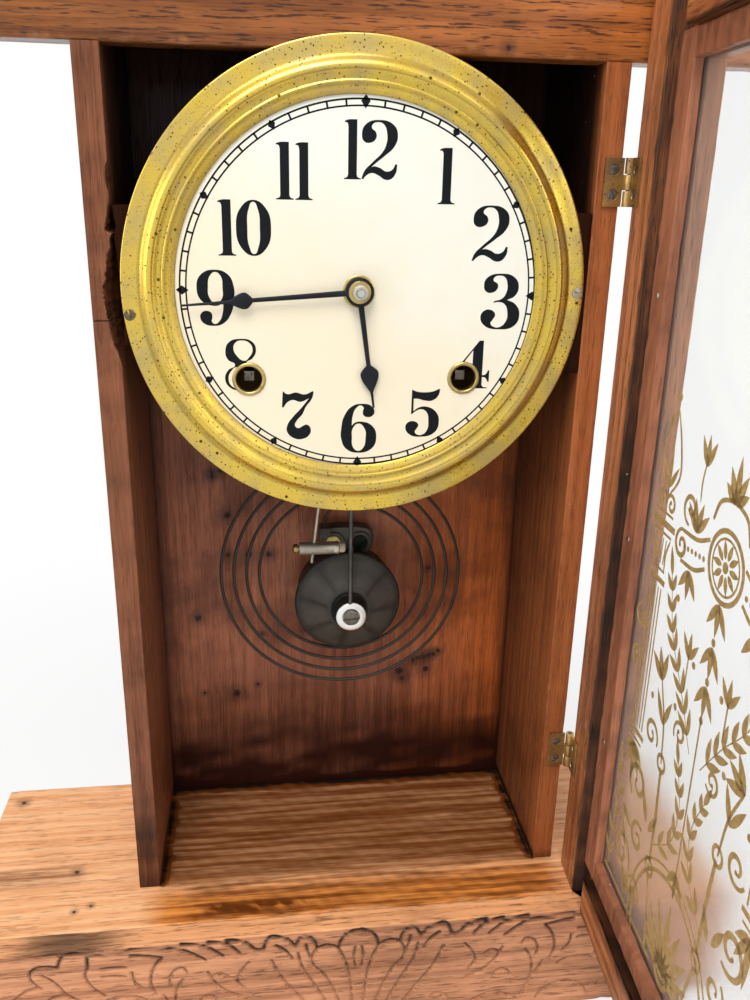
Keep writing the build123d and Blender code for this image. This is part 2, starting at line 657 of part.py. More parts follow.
PARTS["hinge_pins"] = Compound(hinge_pins)
door_pieces["door_hinge_leaves"] = Compound(door_leaves) - Compound(DOOR_SCREWS)
door_pieces["door_hinge_screws"] = Compound(DOOR_SCREWS)

# Hook, drawn reaching back over the catch pin and then let down to hang
hook_length = HOOK_REACH + HOOK_NOTCH
hook_outline = Pos(hook_length / 2, 0) * SlotOverall(hook_length + HOOK_W, HOOK_W)
hook_outline -= Circle(HOOK_SCREW_R + RUN_FIT)
hook_outline -= Pos(HOOK_REACH, -HOOK_W / 2) * SlotOverall(
    HOOK_W + 2 * CATCH_R, HOOK_NOTCH, rotation=90)
hook = extrude(hook_plane * Pos(HOOK_Y, CATCH_Z) * hook_outline, amount=HOOK_T)
door_pieces["door_hook"] = (
    Pos(0, HOOK_Y, CATCH_Z) * Rot(-90, 0, 0) * Pos(0, -HOOK_Y, -CATCH_Z) * hook)
for name, solid in door_pieces.items():
    PARTS[name] = swung(solid)

# Places of the arbors, from the middle of the dial
CENTRE = (0.0, 0.0)
STRIKE_GREAT, TIME_GREAT = WINDING_PLACES
SECOND_SPAN = GREAT_MODULE * (GREAT_TEETH + SECOND_PINS) / 2
CENTRE_SPAN = SECOND_MODULE * (SECOND_TEETH + CENTRE_LEAVES) / 2
THIRD_SPAN = FINE_MODULE * (CENTRE_TEETH + THIRD_PINS) / 2
ESCAPE_SPAN = FINE_MODULE * (THIRD_TEETH + ESCAPE_PINS) / 2
MOTION_SPAN = CANNON_MODULE * (CANNON_LEAVES + MINUTE_TEETH) / 2
HOUR_MODULE = 2 * MOTION_SPAN / (MINUTE_LEAVES + HOUR_TEETH)
VERGE = (0.0, -VERGE_DOWN)
SECOND = meeting(TIME_GREAT, SECOND_SPAN, CENTRE, CENTRE_SPAN, -1)
THIRD = polar(THIRD_SPAN, THIRD_ANGLE)
ESCAPE = (0.0, THIRD[1] - sqrt(ESCAPE_SPAN ** 2 - THIRD[0] ** 2))
MINUTE = (0.0, MOTION_SPAN)
STRIKE_SECOND = add(STRIKE_GREAT, polar(SECOND_SPAN, STRIKE_SECOND_ANGLE))
FLY = add(STRIKE_SECOND, polar(FINE_MODULE * (STRIKE_TEETH + FLY_PINS) / 2, FLY_ANGLE))
PIVOTED = (CENTRE, SECOND, THIRD, ESCAPE, STRIKE_SECOND, FLY, HAMMER_AT)

# Plates with windows, pivot holes and pillar holes
plate_outline = Pos(0, (PLATE_TOP - PLATE_BOTTOM) / 2) * RectangleRounded(
    2 * PLATE_HALF_W, PLATE_TOP + PLATE_BOTTOM, PLATE_ROUND)
for x, z, wide, high in PLATE_WINDOWS:
    plate_outline -= Pos(x, z) * Rectangle(wide, high)
for place in PIVOTED:
    plate_outline -= Pos(*place) * Circle(PIVOT_R + RUN_FIT)
for place in PILLAR_PLACES:
    plate_outline -= Pos(*place) * Circle(PILLAR_END_R)
front_outline = plate_outline - Pos(*CENTRE) * Circle(CENTRE_ARBOR_R + RUN_FIT)
back_outline = plate_outline
for place in WINDING_PLACES:
    front_outline -= Pos(*place) * Circle(WINDING_R + RUN_FIT)
    back_outline -= Pos(*place) * Circle(WINDING_PIVOT_R + RUN_FIT)
for place in (VERGE, MINUTE):
    front_outline -= Pos(*place) * Circle(STUD_R)
PARTS["front_plate"] = at(CENTRE, slab(front_outline, PLATE_Y, BETWEEN_Y))
PARTS["back_plate"] = at(CENTRE, slab(back_outline, REAR_PLATE_Y, REAR_PLATE_Y + PLATE_T))

# Pillars stand on the back board; nuts hold the front plate
pillar = rod(0, 0, REAR_PLATE_Y + PLATE_T, BACK_Y, PILLAR_FOOT_R)
pillar += rod(0, 0, BETWEEN_Y, REAR_PLATE_Y, PILLAR_R)
pillar += rod(0, 0, PLATE_Y - NUT_T, REAR_PLATE_Y + PLATE_T, PILLAR_END_R)
nut = slab(RegularPolygon(NUT_R, NUT_SIDES) - Circle(PILLAR_END_R), PLATE_Y - NUT_T, PLATE_Y)
PARTS["plate_pillars"] = Compound([at(place, pillar) for place in PILLAR_PLACES])
PARTS["pillar_nuts"] = Compound([at(place, nut) for place in PILLAR_PLACES])

# Studs in the front plate for the pendulum and verge, and for the minute wheel
ROD_Y = PLATE_Y - ROD_OUT
PARTS["front_studs"] = Compound([
    at(VERGE, rod(0, 0, ROD_Y - EYE_W / 2 - STUD_OVER, BETWEEN_Y, STUD_R)),
    at(MINUTE, rod(0, 0, PLATE_Y - HOUR_WHEEL_OUT - MOTION_HALF - STUD_OVER, BETWEEN_Y, STUD_R))])


def wheel(teeth, module, phase, depth, bore=0.0):
    """Pointed wheel at a depth behind the front plate, for lantern pinions."""
    outline = toothed(teeth, module, phase, POINTED_TOOTH)
    if bore:
        outline -= Circle(bore)
    return slab(outline, BETWEEN_Y + depth, BETWEEN_Y + depth + WHEEL_T)


def lantern_at(pins, module, phase, depth):
    """Lantern pinion centred on a wheel at a depth behind the front plate."""
    middle = BETWEEN_Y + depth + WHEEL_T / 2
    return lantern(pins, module, phase, middle - LANTERN_HALF, middle + LANTERN_HALF)


# Great wheels turn on the winding arbors; ratchets are one with the arbors
SPRING_Y = BETWEEN_Y + SPRING_IN
GREAT_Y = BETWEEN_Y + GREAT_WHEEL_IN
time_great_phase = mesh_phase(SECOND, TIME_GREAT, SECOND_PINS, GREAT_TEETH, 0)
strike_great_phase = mesh_phase(STRIKE_SECOND, STRIKE_GREAT, SECOND_PINS, GREAT_TEETH, 0)
great_bore = WINDING_R + RUN_FIT
PARTS["time_great_wheel"] = at(
    TIME_GREAT, wheel(GREAT_TEETH, GREAT_MODULE, time_great_phase, GREAT_WHEEL_IN, great_bore))
PARTS["strike_great_wheel"] = at(
    STRIKE_GREAT, wheel(GREAT_TEETH, GREAT_MODULE, strike_great_phase, GREAT_WHEEL_IN, great_bore))
ratchet_points = []
for number in range(RATCHET_TEETH):
    ratchet_points.append(polar(RATCHET_R, 360 * number / RATCHET_TEETH))
    ratchet_points.append(polar(RATCHET_R - RATCHET_TOOTH, 360 * number / RATCHET_TEETH))
winding = rod(0, 0, BETWEEN_Y + END_PLAY, REAR_PLATE_Y - END_PLAY, WINDING_R)
winding += rod(0, 0, PLATE_Y, BETWEEN_Y + END_PLAY, WINDING_R)
winding += rod(0, 0, REAR_PLATE_Y - END_PLAY, REAR_PLATE_Y + PLATE_T, WINDING_PIVOT_R)
winding += slab(Rectangle(WINDING_SQUARE, WINDING_SQUARE), DIAL_Y + SHEET + WINDING_SET_IN, PLATE_Y)
winding += slab(
    make_face(Polyline(*ratchet_points, close=True)),
    GREAT_Y - END_PLAY - WHEEL_T, GREAT_Y - END_PLAY)
PARTS["time_winding_arbor"] = at(TIME_GREAT, winding)
PARTS["strike_winding_arbor"] = at(STRIKE_GREAT, winding)

# Mainsprings: a wound pack with its outer end looped round the nearest lower pillar
springs = []
for place, pillar_place in ((STRIKE_GREAT, PILLAR_PLACES[2]), (TIME_GREAT, PILLAR_PLACES[3])):
    pack = Pos(*place) * (Circle(SPRING_R) - Circle(SPRING_CORE_R))
    loop = Pos(*pillar_place) * (Circle(PILLAR_R + SPRING_STRIP) - Circle(PILLAR_R))
    span = hypot(pillar_place[0] - place[0], pillar_place[1] - place[1])
    strip_start = SPRING_R - SPRING_STRIP
    strip_end = span - PILLAR_R - SPRING_STRIP / 2
    strip = Rectangle(strip_end - strip_start, SPRING_STRIP, align=(Align.MIN, Align.CENTER))
    strip = Pos(*place) * Rot(0, 0, bearing(place, pillar_place)) * Pos(strip_start, 0) * strip
    springs.append(at(CENTRE, slab(pack + strip + loop, SPRING_Y, SPRING_Y + SPRING_W)))
PARTS["mainsprings"] = Compound(springs)

# Second wheel of the time train
SECOND_WHEEL_Y = BETWEEN_Y + SECOND_WHEEL_IN + WHEEL_T / 2
second_phase = mesh_phase(CENTRE, SECOND, CENTRE_LEAVES, SECOND_TEETH, 0)
second = arbor(BETWEEN_Y + END_PLAY, REAR_PLATE_Y - END_PLAY)
second += lantern_at(SECOND_PINS, GREAT_MODULE, 0, GREAT_WHEEL_IN)
second += slab(
    toothed(SECOND_TEETH, SECOND_MODULE, second_phase, SPUR_TOOTH),
    SECOND_WHEEL_Y - WHEEL_T / 2, SECOND_WHEEL_Y + WHEEL_T / 2)
PARTS["time_second_wheel"] = at(SECOND, second)

# Hand heights in front of the dial
HOUR_HAND_Y = DIAL_Y - HOUR_HAND_OUT
MINUTE_HAND_Y = DIAL_Y - MINUTE_HAND_OUT
NUT_BACK_Y = MINUTE_HAND_Y - HAND_WASHER_T
NUT_FRONT_Y = NUT_BACK_Y - HAND_NUT_T

# Centre arbor with its leaves, its wheel and the cannon leaves that drive the motion work
centre = rod(0, 0, NUT_FRONT_Y - ARBOR_END, BETWEEN_Y + END_PLAY, CENTRE_ARBOR_R)
centre += rod(0, 0, BETWEEN_Y + END_PLAY, GREAT_Y, CENTRE_ARBOR_R)
centre += rod(0, 0, GREAT_Y, REAR_PLATE_Y - END_PLAY, FINE_ARBOR_R)
centre += rod(0, 0, REAR_PLATE_Y - END_PLAY, REAR_PLATE_Y + PLATE_T, PIVOT_R)
centre += slab(
    toothed(CENTRE_LEAVES, SECOND_MODULE, 0, SPUR_TOOTH),
    SECOND_WHEEL_Y - LEAF_HALF, SECOND_WHEEL_Y + LEAF_HALF)
centre += wheel(CENTRE_TEETH, FINE_MODULE, 0, CENTRE_WHEEL_IN)
centre += slab(
    toothed(CANNON_LEAVES, CANNON_MODULE, 0, SPUR_TOOTH),
    PLATE_Y - CANNON_OUT - MOTION_HALF, PLATE_Y - CANNON_OUT + MOTION_HALF)
PARTS["center_arbor"] = at(CENTRE, centre)

# Motion work: minute wheel with its leaves, hour wheel with its pipe
minute_phase = mesh_phase(CENTRE, MINUTE, CANNON_LEAVES, MINUTE_TEETH, 0)
hour_phase = mesh_phase(MINUTE, CENTRE, MINUTE_LEAVES, HOUR_TEETH, 0)
stud_bore = STUD_R + RUN_FIT
minute_wheel = slab(
    toothed(MINUTE_TEETH, CANNON_MODULE, minute_phase, SPUR_TOOTH) - Circle(stud_bore),
    PLATE_Y - CANNON_OUT - WHEEL_T / 2, PLATE_Y - CANNON_OUT + WHEEL_T / 2)
minute_wheel += slab(
    toothed(MINUTE_LEAVES, HOUR_MODULE, 0, SPUR_TOOTH) - Circle(stud_bore),
    PLATE_Y - HOUR_WHEEL_OUT - MOTION_HALF, PLATE_Y - CANNON_OUT - WHEEL_T / 2)
PARTS["minute_wheel"] = at(MINUTE, minute_wheel)
pipe_bore = CENTRE_ARBOR_R + RUN_FIT
hour_wheel = slab(
    toothed(HOUR_TEETH, HOUR_MODULE, hour_phase, SPUR_TOOTH) - Circle(pipe_bore),
    PLATE_Y - HOUR_WHEEL_OUT - WHEEL_T / 2, PLATE_Y - HOUR_WHEEL_OUT + WHEEL_T / 2)
hour_wheel += tube(
    0, 0, HOUR_HAND_Y - HAND_T, PLATE_Y - HOUR_WHEEL_OUT - WHEEL_T / 2, HOUR_PIPE_R, pipe_bore)
PARTS["hour_wheel"] = at(CENTRE, hour_wheel)

# Third wheel, and the escape wheel in front of the front plate
third_phase = mesh_phase(CENTRE, THIRD, CENTRE_TEETH, THIRD_PINS, 0)
third = arbor(BETWEEN_Y + END_PLAY, REAR_PLATE_Y - END_PLAY, FINE_ARBOR_R)
third += lantern_at(THIRD_PINS, FINE_MODULE, third_phase, CENTRE_WHEEL_IN)
third += wheel(THIRD_TEETH, FINE_MODULE, 0, THIRD_WHEEL_IN)
PARTS["time_third_wheel"] = at(THIRD, third)
escape_phase = mesh_phase(THIRD, ESCAPE, THIRD_TEETH, ESCAPE_PINS, 0)
ESCAPE_Y = PLATE_Y - ESCAPE_OUT
escape_points = []
for number in range(ESCAPE_TEETH):
    middle = 360 * number / ESCAPE_TEETH
    escape_points.append(polar(ESCAPE_R, middle + ESCAPE_LEAN))
    escape_points.append(polar(ESCAPE_R - ESCAPE_TOOTH, middle))
escape = arbor(BETWEEN_Y + END_PLAY, REAR_PLATE_Y - END_PLAY, FINE_ARBOR_R)
escape += rod(0, 0, ESCAPE_Y - WHEEL_T, PLATE_Y, PIVOT_R)
escape += lantern_at(ESCAPE_PINS, FINE_MODULE, escape_phase, THIRD_WHEEL_IN)
escape += slab(make_face(Polyline(*escape_points, close=True)), ESCAPE_Y - WHEEL_T, ESCAPE_Y)
PARTS["escape_wheel"] = at(ESCAPE, escape)

# Verge: a bent strip over the escape wheel, with the crutch that reaches down to the rod
VERGE_Y = ESCAPE_Y - WHEEL_T / 2
drop = VERGE_DOWN + ESCAPE[1]
pallet_r = ESCAPE_R + VERGE_CLEAR
pallet_z = drop + sqrt(pallet_r ** 2 - VERGE_HALF_SPAN ** 2)
arm_foot = (VERGE_HALF_SPAN, pallet_z + VERGE_CLEAR)
arm = Pos(arm_foot[0] / 2, arm_foot[1] / 2) * Rot(0, 0, bearing((0, 0), arm_foot)) * Rectangle(
    hypot(*arm_foot) + VERGE_STRIP, VERGE_STRIP)
pallet = Pos(VERGE_HALF_SPAN, pallet_z) * Rectangle(
    VERGE_STRIP, 2 * VERGE_CLEAR, align=(Align.CENTER, Align.MIN))
verge_strip = Circle(EYE_R) + arm + pallet + mirror(arm + pallet, Plane.YZ) - Circle(stud_bore)
verge = slab(verge_strip, VERGE_Y - VERGE_W / 2, VERGE_Y + VERGE_W / 2)
CRUTCH_Y = PLATE_Y - CRUTCH_OUT
fork_x = ROD_R + FORK_GAP + CRUTCH_R
verge += tube(0, 0, CRUTCH_Y - CRUTCH_R, VERGE_Y - VERGE_W / 2, EYE_R, stud_bore)
verge += block(
    -CRUTCH_R, CRUTCH_R, CRUTCH_Y - CRUTCH_R, CRUTCH_Y + CRUTCH_R,
    -CRUTCH_DOWN, -(EYE_R + stud_bore) / 2)
fork = block(
    -fork_x - CRUTCH_R, fork_x + CRUTCH_R, ROD_Y - ROD_R - CRUTCH_R, CRUTCH_Y + CRUTCH_R,
    -CRUTCH_DOWN - 2 * CRUTCH_R, -CRUTCH_DOWN)
verge += fork - block(
    CRUTCH_R - fork_x, fork_x - CRUTCH_R, ROD_Y - ROD_R - CRUTCH_R, CRUTCH_Y - CRUTCH_R,
    -CRUTCH_DOWN - 2 * CRUTCH_R, -CRUTCH_DOWN)
PARTS["verge"] = at(VERGE, verge)

# Pendulum rod, hung by its eye
pendulum = Pos(0, ROD_Y, -ROD_LENGTH) * Cylinder(
    ROD_R, ROD_LENGTH, align=(Align.CENTER, Align.CENTER, Align.MIN))
pendulum += rod(0, 0, ROD_Y - EYE_W / 2, ROD_Y + EYE_W / 2, EYE_R)
pendulum -= rod(0, 0, ROD_Y - EYE_W / 2, ROD_Y + EYE_W / 2, stud_bore)
PARTS["pendulum_rod"] = at(VERGE, pendulum)

# Strike train: the second wheel carries the lifting pins, the fly slows it
strike_second = arbor(BETWEEN_Y + END_PLAY, REAR_PLATE_Y - END_PLAY)
strike_second += lantern_at(SECOND_PINS, GREAT_MODULE, 0, GREAT_WHEEL_IN)
strike_second += wheel(STRIKE_TEETH, FINE_MODULE, 0, SECOND_WHEEL_IN)
lift_y = BETWEEN_Y + SECOND_WHEEL_IN
for number in range(LIFT_PINS):
    x, z = polar(LIFT_CIRCLE_R, 360 * number / LIFT_PINS)
    strike_second += rod(x, z, lift_y - LIFT_PIN_OUT, lift_y + WHEEL_T / 2, LIFT_PIN_R)
PARTS["strike_second_wheel"] = at(STRIKE_SECOND, strike_second)
fly_phase = mesh_phase(STRIKE_SECOND, FLY, STRIKE_TEETH, FLY_PINS, 0)
fly = arbor(BETWEEN_Y + END_PLAY, REAR_PLATE_Y - END_PLAY, FINE_ARBOR_R)
fly += lantern_at(FLY_PINS, FINE_MODULE, fly_phase, SECOND_WHEEL_IN)
fly += slab(Rectangle(2 * FLY_HALF_W, FLY_T), BETWEEN_Y + FLY_IN, BETWEEN_Y + FLY_IN + FLY_LENGTH)
PARTS["strike_fly"] = at(FLY, fly)

# Hammer: an arm of wire on its arbor, a tail near the lifting pins, and the head
HAMMER_Y = BETWEEN_Y + HAMMER_BACK
from_arbor = [
    (point[0] - HAMMER_AT[0], HAMMER_Y, point[1] - HAMMER_AT[1])
    for point in (HAMMER_AT, HAMMER_BEND, HAMMER_END)]
hammer = arbor(BETWEEN_Y + END_PLAY, REAR_PLATE_Y - END_PLAY)
hammer_wire = wire_along(from_arbor, HAMMER_WIRE_R, HAMMER_BEND_R)
tail = (TAIL_END[0] - HAMMER_AT[0], TAIL_END[1] - HAMMER_AT[1])
tail_outline = Pos(tail[0] / 2, tail[1] / 2) * SlotOverall(
    hypot(*tail) + TAIL_W, TAIL_W, rotation=bearing((0, 0), tail))
tail_front = lift_y - LIFT_PIN_OUT
hammer += hammer_wire + slab(tail_outline, tail_front, tail_front + TAIL_T)
PARTS["hammer_arm"] = at(HAMMER_AT, hammer)


def level(x0, x1, radius):
    """Round bar of the hammer's head, along x."""
    return Plane.YZ.offset(x0) * Pos(HAMMER_Y, DIAL_Z - HAMMER_HEAD_DOWN) * Cylinder(
        radius, x1 - x0, align=(Align.CENTER, Align.CENTER, Align.MIN))


hammer_head = level(HAMMER_HEAD_X[0], HAMMER_HEAD_X[1], HAMMER_HEAD_R)
hammer_head += level(HAMMER_BUTTON[0], HAMMER_HEAD_X[0], HAMMER_BUTTON[1])
PARTS["hammer_head"] = hammer_head - at(HAMMER_AT, hammer_wire)
PARTS["hammer_tip"] = level(HAMMER_HEAD_X[1], HAMMER_TIP_X, HAMMER_TIP_R)


def hand(length, hub_r, spade_at, spade_r, bore):
    """Spade hand along +x: hub, stem, round spade that runs out to a thin point."""
    stem = Polygon(
        (0, -HAND_STEM), (spade_at, -HAND_TIP), (spade_at, HAND_TIP), (0, HAND_STEM), align=None)
    run_out = spade_at + SPADE_RUN * spade_r
    leave_x, leave_z = polar(spade_r, SPADE_LEAVE)
    point = Polygon(
        (spade_at + leave_x, -leave_z), (run_out, -HAND_TIP), (length, -HAND_TIP / 2),
        (length, HAND_TIP / 2), (run_out, HAND_TIP), (spade_at + leave_x, leave_z), align=None)
    return Circle(hub_r) + stem + Pos(spade_at, 0) * Circle(spade_r) + point - Circle(bore)


hour_outline = hand(HOUR_HAND_LENGTH, HOUR_HUB_R, HOUR_SPADE_AT, HOUR_SPADE_R, HOUR_PIPE_R)
minute_outline = hand(
    MINUTE_HAND_LENGTH, MINUTE_HUB_R, MINUTE_SPADE_AT, MINUTE_SPADE_R, CENTRE_ARBOR_R)
PARTS["hour_hand"] = at(
    CENTRE, slab(Rot(0, 0, HOUR_HAND_ANGLE) * hour_outline, HOUR_HAND_Y - HAND_T, HOUR_HAND_Y))
PARTS["minute_hand"] = at(
    CENTRE, slab(Rot(0, 0, MINUTE_HAND_ANGLE) * minute_outline, MINUTE_HAND_Y, MINUTE_HAND_Y + HAND_T))
knurl_points = []
for number in range(HAND_NUT_KNURLS):
    knurl_points.append(polar(HAND_NUT_R, 360 * number / HAND_NUT_KNURLS))
    knurl_points.append(polar(HAND_NUT_R - HAND_NUT_KNURL, 360 * (number + 0.5) / HAND_NUT_KNURLS))
knurled = make_face(Polyline(*knurl_points, close=True)) - Circle(CENTRE_ARBOR_R)
PARTS["hand_nut"] = at(CENTRE, slab(knurled, NUT_FRONT_Y, NUT_BACK_Y))
PARTS["hand_washer"] = at(CENTRE, tube(0, 0, NUT_BACK_Y, MINUTE_HAND_Y, HAND_WASHER_R, CENTRE_ARBOR_R))

# One file for each piece
os.makedirs("parts", exist_ok=True)
for name, solid in PARTS.items():
    export_step(solid, f"parts/{name}.step")
ARBOR_PLACES = {
    "second": SECOND, "third": THIRD, "escape": ESCAPE, "strike second": STRIKE_SECOND, "fly": FLY}
print(f"{len(PARTS)} nodes; arbors, from the middle of the dial: {ARBOR_PLACES}")
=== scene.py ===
# %% [markdown]
# # A mantel clock with its door open
# An oak shelf clock: a carved base, a narrow case with a crest board, a brass bezel round a white dial, a wire gong,
# and a glazed door with gilt ornament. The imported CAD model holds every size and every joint. This script loads it as
# a fixed frame and lays worn boards, turned brass, print and gilding over it. All work is in millimetres, in the
# model's own frame: X to the right, Y to the back, Z up, with the origin under the middle of the base.

# %% Frame
import json
import math

import bmesh
import bpy
import numpy as np
from mathutils import Matrix

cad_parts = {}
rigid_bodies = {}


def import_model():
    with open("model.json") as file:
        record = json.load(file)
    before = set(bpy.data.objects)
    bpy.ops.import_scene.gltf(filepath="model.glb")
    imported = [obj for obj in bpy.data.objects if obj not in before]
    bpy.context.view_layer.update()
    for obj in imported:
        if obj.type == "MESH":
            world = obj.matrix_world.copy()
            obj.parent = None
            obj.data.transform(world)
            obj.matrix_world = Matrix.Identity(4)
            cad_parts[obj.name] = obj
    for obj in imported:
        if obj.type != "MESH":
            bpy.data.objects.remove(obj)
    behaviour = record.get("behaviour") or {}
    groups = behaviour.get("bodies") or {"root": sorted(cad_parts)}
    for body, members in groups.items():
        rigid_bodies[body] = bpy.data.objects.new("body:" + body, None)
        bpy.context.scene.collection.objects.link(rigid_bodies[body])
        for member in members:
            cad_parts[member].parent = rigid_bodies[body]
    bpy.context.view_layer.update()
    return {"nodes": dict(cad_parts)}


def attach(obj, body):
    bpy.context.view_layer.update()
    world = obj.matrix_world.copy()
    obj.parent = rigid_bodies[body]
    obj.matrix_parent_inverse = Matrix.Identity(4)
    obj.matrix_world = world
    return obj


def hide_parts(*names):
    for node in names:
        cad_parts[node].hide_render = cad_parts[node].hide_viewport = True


for stray in list(bpy.data.objects):
    bpy.data.objects.remove(stray)
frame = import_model()
MM = 0.001

# %% [markdown]
# ## From a grid of points to a piece
# Almost every piece here is a sheet of points, rows by columns, worked out with whole arrays. Four neighbours make a
# face. A sheet whose columns close on themselves is a tube, and a flat face on each end makes it watertight. Several
# such shells can go into one mesh, as a screw and its thread do. Sharp edges are marked by angle, so that a rounded
# corner shades smoothly and a cut one stays crisp.

# %% Grid, shell and piece
def grid_faces(rows, cols, wrap_rows=False, wrap_cols=True):
    """Faces of a rows x cols sheet: each point with its right, upper right and upper neighbour."""
    i = np.arange(rows if wrap_rows else rows - 1)[:, None]
    j = np.arange(cols if wrap_cols else cols - 1)[None, :]
    up, right = (i + 1) % rows, (j + 1) % cols
    corners = np.broadcast_arrays(i * cols + j, i * cols + right, up * cols + right, up * cols + j)
    return np.stack(corners, -1).reshape(-1, 4).tolist()


def tube_shell(rings, closed=False):
    """A tube from rings (rows, cols, 3): capped by its first and last ring, or closed like a doughnut."""
    rows, cols = rings.shape[:2]
    faces = grid_faces(rows, cols, wrap_rows=closed)
    if not closed:
        faces += [list(range(cols))[::-1], list(range((rows - 1) * cols, rows * cols))]
    return rings.reshape(-1, 3), faces


def piece(name, shells, finish, body, nodes=(), angle=38, marks=None):
    """One mesh from several shells, with its finish, its body and the CAD nodes that it stands for.
    marks holds one number per point under a name, for finishes that follow wear, soot or carving."""
    points = np.concatenate([np.asarray(shell[0], float) for shell in shells])
    starts = np.cumsum([0] + [len(shell[0]) for shell in shells])
    faces = [[int(start) + i for i in face] for start, shell in zip(starts, shells) for face in shell[1]]
    mesh = bpy.data.meshes.new(name)
    mesh.from_pydata((points * MM).tolist(), [], faces)
    for mark, values in (marks or {}).items():
        mesh.attributes.new(mark, "FLOAT", "POINT").data.foreach_set("value", np.asarray(values, np.float32))
    work = bmesh.new()
    work.from_mesh(mesh)
    bmesh.ops.recalc_face_normals(work, faces=work.faces)
    work.to_mesh(mesh)
    work.free()
    mesh.shade_smooth()
    mesh.set_sharp_from_angle(angle=math.radians(angle))
    made = bpy.data.objects.new(name, mesh)
    bpy.context.scene.collection.objects.link(made)
    mesh.materials.append(finish)
    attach(made, body)
    if nodes:
        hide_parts(*nodes)
    print(f"{name}: {len(points)} points, {len(faces)} faces on {body}")
    return made


# %% [markdown]
# ## Finishes
# Every finish is built from nodes, on Object coordinates or on the marks that a piece carries. A small set of helpers
# keeps the graphs readable: `add` makes a node and links what it is given, and the others wrap the few nodes that come
# back in each recipe. A number that is the same all over a piece is set on the shader itself.

# %% Node helpers
def start_finish(name, **shader):
    """An empty material with one Principled shader; `shader` sets its plain numbers, with _ for a space."""
    finish = bpy.data.materials.new(name)
    finish.use_nodes = True
    tree = finish.node_tree
    tree.nodes.clear()
    bsdf = tree.nodes.new("ShaderNodeBsdfPrincipled")
    tree.links.new(bsdf.outputs[0], tree.nodes.new("ShaderNodeOutputMaterial").inputs[0])
    for key, value in shader.items():
        bsdf.inputs[key.replace("_", " ")].default_value = value
    return finish, tree, bsdf


def add(tree, kind, inputs, **settings):
    """A shader node with its settings and its inputs: a socket is linked, anything else becomes the default."""
    made = tree.nodes.new("ShaderNode" + kind)
    for key, value in settings.items():
        setattr(made, key, value)
    for key, value in inputs.items():
        if isinstance(value, bpy.types.NodeSocket):
            tree.links.new(value, made.inputs[key])
        else:
            made.inputs[key].default_value = value
    return made


def place(tree, scale, turn=(0, 0, 0), shift=(0, 0, 0), source=None):
    """Object coordinates in millimetres (or `source`), scaled, then turned in degrees, then shifted."""
    if source is None:
        where = add(tree, "TexCoord", {}).outputs["Object"]
        scale = [1000 * s for s in scale]
    else:
        where = source
    return add(tree, "Mapping", {"Vector": where, "Scale": scale, "Location": shift,
                                 "Rotation": [math.radians(t) for t in turn]}).outputs[0]


def noise(tree, where, scale, detail=3, rough=0.55):
    """Cloudy noise between 0 and 1."""
    return add(tree, "TexNoise", {"Vector": where, "Scale": scale, "Detail": detail, "Roughness": rough}).outputs[0]


def span(tree, value, low, high, to_low=0.0, to_high=1.0):
    """A value between low and high spread smoothly to between to_low and to_high, held at the ends."""
    limits = {"From Min": low, "From Max": high, "To Min": to_low, "To Max": to_high}
    return add(tree, "MapRange", {"Value": value, **limits}, interpolation_type="SMOOTHSTEP").outputs[0]


def calc(tree, operation, a, b):
    """One arithmetic step on numbers."""
    return add(tree, "Math", {0: a, 1: b}, operation=operation).outputs[0]


def times(tree, a, b):
    """a multiplied by b."""
    return calc(tree, "MULTIPLY", a, b)


def plus(tree, a, b):
    """a and b together."""
    return calc(tree, "ADD", a, b)


def blend(tree, amount, a, b):
    """Colour a going over to colour b by `amount`."""
    rgba = [(*c, 1.0) if not isinstance(c, bpy.types.NodeSocket) else c for c in (a, b)]
    return add(tree, "Mix", {0: amount, 6: rgba[0], 7: rgba[1]}, data_type="RGBA").outputs[2]


def mark(tree, name):
    """A number that the piece carries at each point."""
    return add(tree, "Attribute", {}, attribute_name=name, attribute_type="GEOMETRY").outputs["Fac"]


def specks(tree, where, scale, size, share):
    """Round spots: cells of a Voronoi pattern whose middle lies within `size`, kept for a random share of cells."""
    cell = add(tree, "TexVoronoi", {"Vector": where, "Scale": scale, "Randomness": 1.0})
    lot = add(tree, "SeparateColor", {0: cell.outputs["Color"]}).outputs[0]
    kept = calc(tree, "LESS_THAN", lot, share)
    near = span(tree, cell.outputs["Distance"], size * 0.55, size, 1.0, 0.0)
    return times(tree, near, kept)


def bump(tree, bsdf, height, depth, strength=1.0):
    """Fine relief: `height` between 0 and 1 stands for `depth` millimetres."""
    made = add(tree, "Bump", {"Height": height, "Strength": strength, "Distance": depth * MM})
    tree.links.new(made.outputs[0], bsdf.inputs["Normal"])


# %% [markdown]
# ### Oak under old varnish
# Oak shows three things at once: growth rings that a flat-sawn board cuts into long arches, dark pores as short dashes
# along the grain, and a fine fibre. The rings are a wave texture round a pith line that lies a little slanted below
# the board, the pores and the fibre are noise stretched along the grain, and blotches of darker varnish lie over them.
# Three marks from the mesh add the rest: `wear` along the arrises, where hands have rubbed; the soot mark, with dirt in
# cuts and cracks and painted shade in the cuts, inside the case and in its corners; and the tint mark, for another
# varnish on the base top and a painted highlight on the base front's top.

# %% Recipe for oak
ALONG = {"X": (0, 0, 0), "Y": (0, 0, -90), "Z": (0, 90, 0)}  # turns that lay the grain axis along X
# the black of deep dirt and deep painted shade, where the soot mark goes beyond 1, and pale dust
DIRT_AND_SHADE_BLACK, DUST = (0.006, 0.003, 0.002), (0.75, 0.68, 0.6)
STAIN_HALO, STAIN_HEART = (0.03, 0.012, 0.008), (0.006, 0.005, 0.005)


